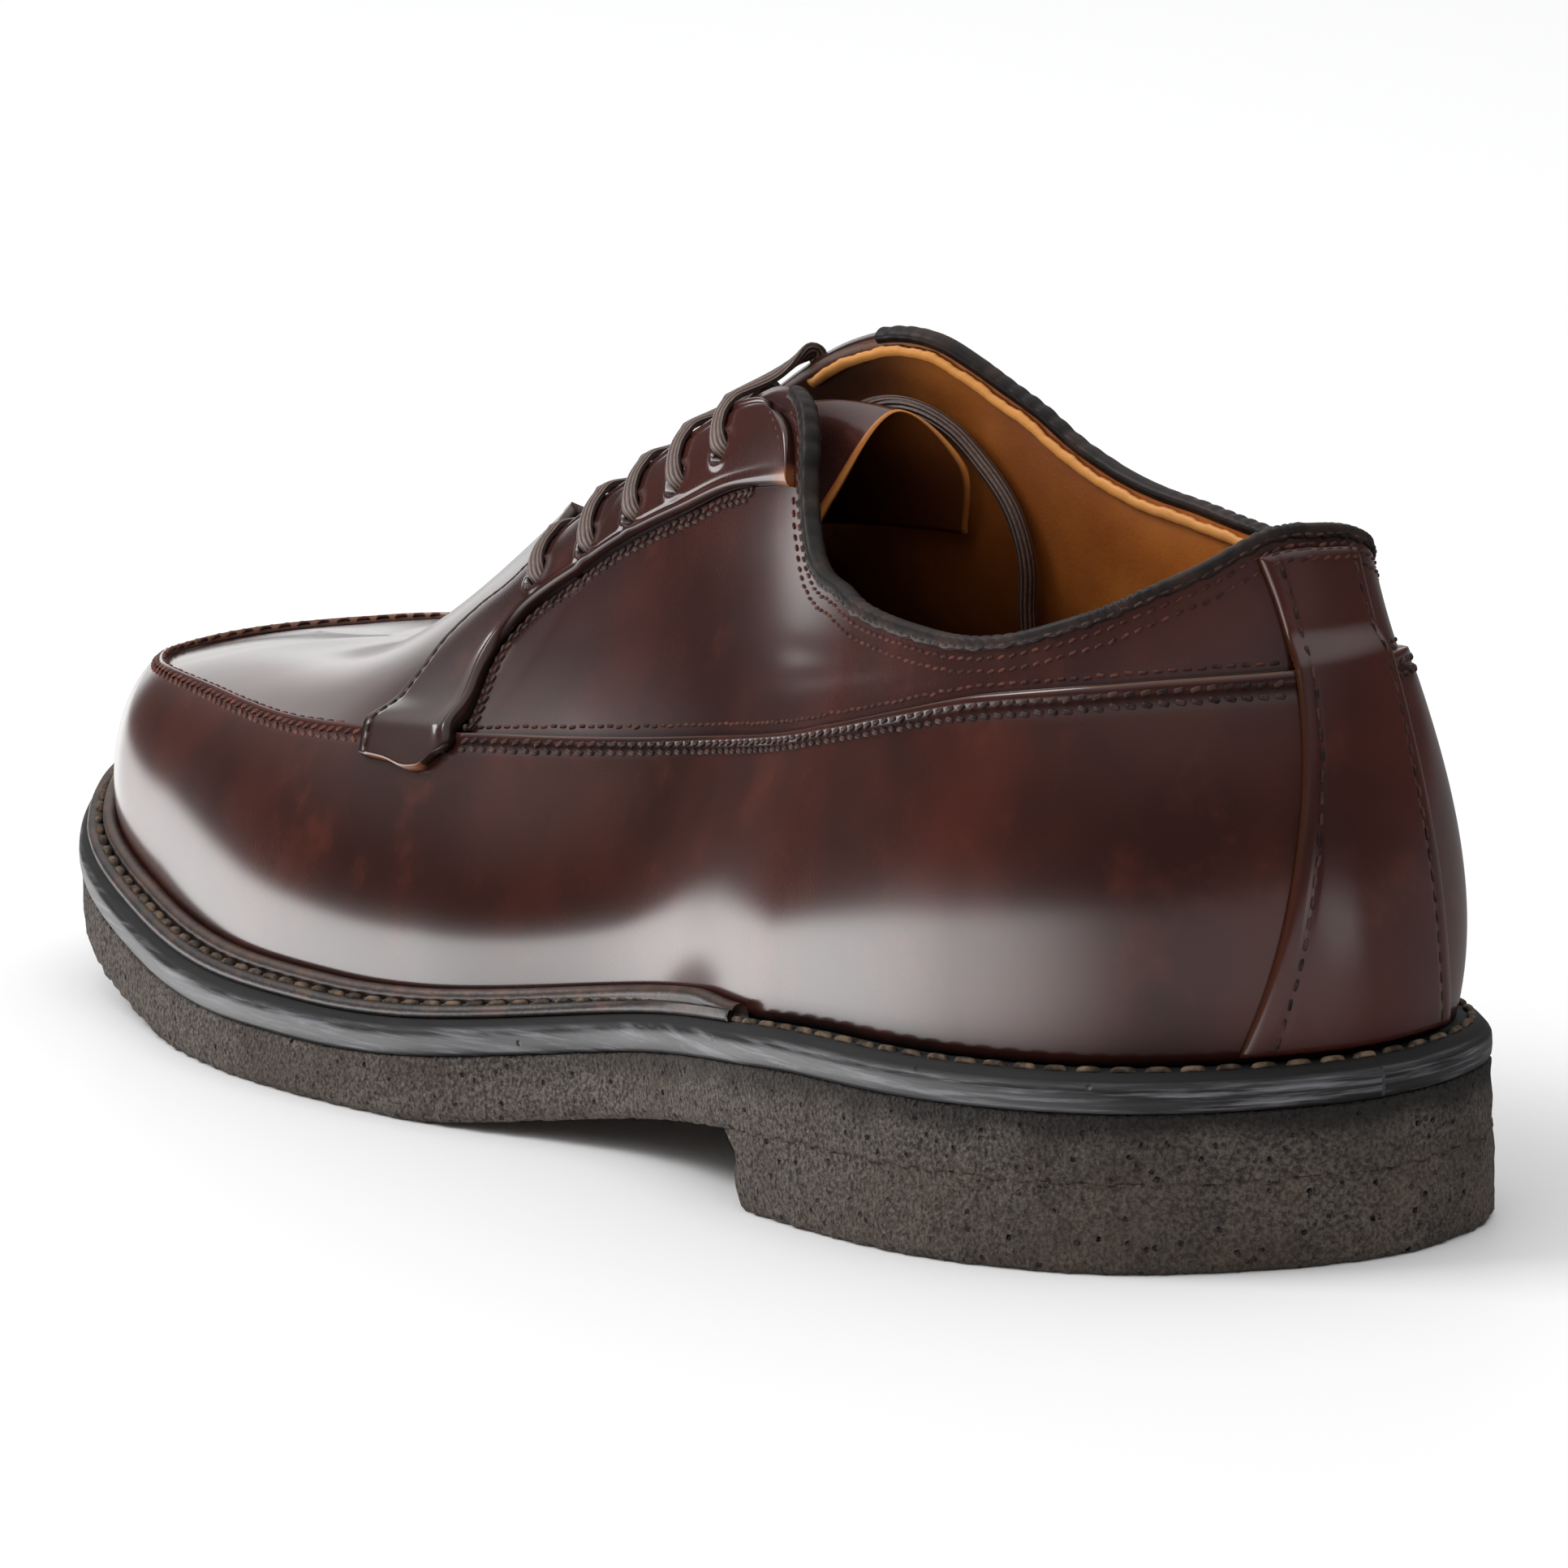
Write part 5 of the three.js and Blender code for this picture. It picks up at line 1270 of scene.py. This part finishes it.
def lace_piece(name, points, ups, wide, tall, stands_for):
    """A run of flat oval lace: an oval swept along its points, its UV in turns round and metres along."""
    ways = unit(np.gradient(points, axis=0))
    across = unit(np.cross(ways, ups))
    ups = np.cross(across, ways)
    rings = tube_rings(points, across, ups, wide, tall)
    made, faces = ring_sweep(rings)
    span = np.concatenate([[0], np.cumsum(np.linalg.norm(np.diff(points, axis=0), axis=1))]) * MM
    turn = np.linspace(0, 1, rings.shape[1])
    uv = np.stack(np.broadcast_arrays(turn[None, :], span[:, None]), -1).reshape(-1, 2)
    uv = np.concatenate([uv, uv[[0, -1]]])
    return piece(name, made, faces, [LACE], stands_for, uv=uv)


def lace_bars():
    """Each bar rises out of its outer hole, bows over the strip, crosses the throat and goes down the other."""
    for index in range(len(EYELETS)):
        spots, ups = [], []
        for side in (1, -1):
            row, back = EYELETS[index, 0], EYELETS[index, 1 if side > 0 else 2]
            edge = np.float64(row if side > 0 else PLACES - row)
            run = []
            for share, lift, bow in LACE_ROUTE:
                lift = lift if side > 0 or lift < 0 else lift * 0.3
                place, height = below_rim(edge, np.float64(back * share))
                level = cover_level(np.float64(eyelet_places(side)[1][index])) + 1.5
                spot = skin(place, height, level + lift)
                ahead = unit(last_point(place + 0.02 * side, height) - last_point(place, height))
                run.append((spot + ahead * bow, last_normal(place, height)))
            spots.append([spot for spot, _ in run])
            ups.append([up for _, up in run])
        ends = np.array(spots[0]), np.array(spots[1])
        middle = (ends[0][-1] + ends[1][-1]) / 2 + np.array([0, 0, -0.5])
        line = np.concatenate([ends[0], middle[None], ends[1][::-1]])
        lift = np.concatenate([np.array(ups[0]), [[0, 0, 1.0]], np.array(ups[1])[::-1]])
        t = np.linspace(0, 1, 120)
        lace_piece(f"lace_strand_{index + 1}", catmull(line, t), unit(catmull(lift, t)), 1.7, 0.7,
                   [f"lace_bar_{index + 1}"])


def lace_end():
    """The free end: it leaves the top inner hole inside, runs back along the lining and hangs to the insole."""
    t = np.linspace(0, 1, 260)
    points = catmull(LACE_END, t)
    ups = unit(points * np.array([-1.0, 0, 0]) + np.array([0, -20.0, 0]))
    made = lace_piece("lace_tail", points, ups, LACE_DIAMETER / 2, LACE_DIAMETER / 2 - 0.15, ["lace_end"])


def floor():
    mesh = bpy.data.meshes.new("floor")
    half = 6.0
    mesh.from_pydata([(-half, -half, 0), (half, -half, 0), (half, half, 0), (-half, half, 0)], [], [(0, 1, 2, 3)])
    mesh.materials.append(plain("table_white", "F6F6F7", 0.6))
    made = bpy.data.objects.new("floor", mesh)
    bpy.context.scene.collection.objects.link(made)
    made.visible_glossy = False


def along_way(tree, where, way):
    return node(tree, "ShaderNodeVectorMath", {"operation": "DOT_PRODUCT"}, _0=where, _1=way).outputs["Value"]


def lights():
    """A dim studio: a soft ceiling, a white sweep behind, and a table glowing towards the shoe's outer toe side.
    The table's glow is in the world below the horizon, so glossy rays go through the floor to it."""
    world = bpy.data.worlds.new("studio")
    world.use_nodes = True
    tree = world.node_tree
    tree.nodes.clear()
    way = coords(tree, "Generated")
    up = along_way(tree, way, (0, 0, 1))
    ceiling = steps_of(tree, up, 0.17, 0.77, 0.0, 1.05)
    sweep = maths(tree, "MULTIPLY", steps_of(tree, along_way(tree, way, (0.42, 0.907, 0)), 0.92, 0.995, 0.0, 1.45),
                  steps_of(tree, up, -0.02, 0.02))
    beside = maths(tree, "DIVIDE", maths(tree, "ADD", along_way(tree, way, (-0.81, 0.59, 0)), 0.1), 1.1, True)
    right = along_way(tree, way, (1, 0, 0))
    behind = maths(tree, "MULTIPLY", steps_of(tree, right, 0.0, 0.2), steps_of(tree, right, 0.3, 0.5, 0.9, 0.0))
    behind = maths(tree, "MULTIPLY", behind, steps_of(tree, up, -0.3, -0.1))
    dim = maths(tree, "ADD", steps_of(tree, right, 0.1, 0.6, 0.6, 0.2), behind)
    glow = maths(tree, "ADD", maths(tree, "MULTIPLY", maths(tree, "POWER", beside, 3.0), 4.8), dim)
    glow = maths(tree, "MULTIPLY", glow, steps_of(tree, up, -0.05, 0.012, 1.0, 0.0))
    glow = maths(tree, "MULTIPLY", glow, steps_of(tree, up, -0.65, -0.3, 0.35, 1.0))
    wall = maths(tree, "MULTIPLY", steps_of(tree, along_way(tree, way, (-0.866, 0.5, 0)), 0.9, 1.0, 0.0, 0.6),
                 steps_of(tree, up, 0.0, 0.09, 1.0, 0.0))
    glow = maths(tree, "MAXIMUM", glow, maths(tree, "MULTIPLY", wall, steps_of(tree, up, -0.02, 0.0)))
    total = maths(tree, "ADD", maths(tree, "ADD", ceiling, sweep), maths(tree, "ADD", glow, 0.06))
    shade = node(tree, "ShaderNodeBackground", None, Color=(1, 1, 1, 1), Strength=total)
    node(tree, "ShaderNodeOutputWorld", None, Surface=shade.outputs[0])
    bpy.context.scene.world = world
    area_light("softbox", (-1.1, 0.9, 1.6), (0, 0, 0.05), (0.9, 0.9), 21)
    panel = area_light("table_panel", (-0.74, 0.3, 0.004), (-0.74, 0.3, 1), (1.1, 1.3), 12)
    panel.visible_camera = False
    panel.visible_glossy = False
    bpy.context.scene.view_settings.view_transform = "Standard"


floor()
lights()
upper()
facing(1, "facing_strip_outer", ["facing_outer"])
facing(-1, "facing_strip_inner", ["facing_inner"])
back_strap()
binding()
lining_edge()
tongue()
outsole()
heel_block()
midsole()
welt()
seam_rows()
facing_rows()
collar_rows()
strap_rows()
welt_rows()
lace_bars()
lace_end()
NODES["insole"].data.materials.clear()
NODES["insole"].data.materials.append(SHADED_INSOLE)
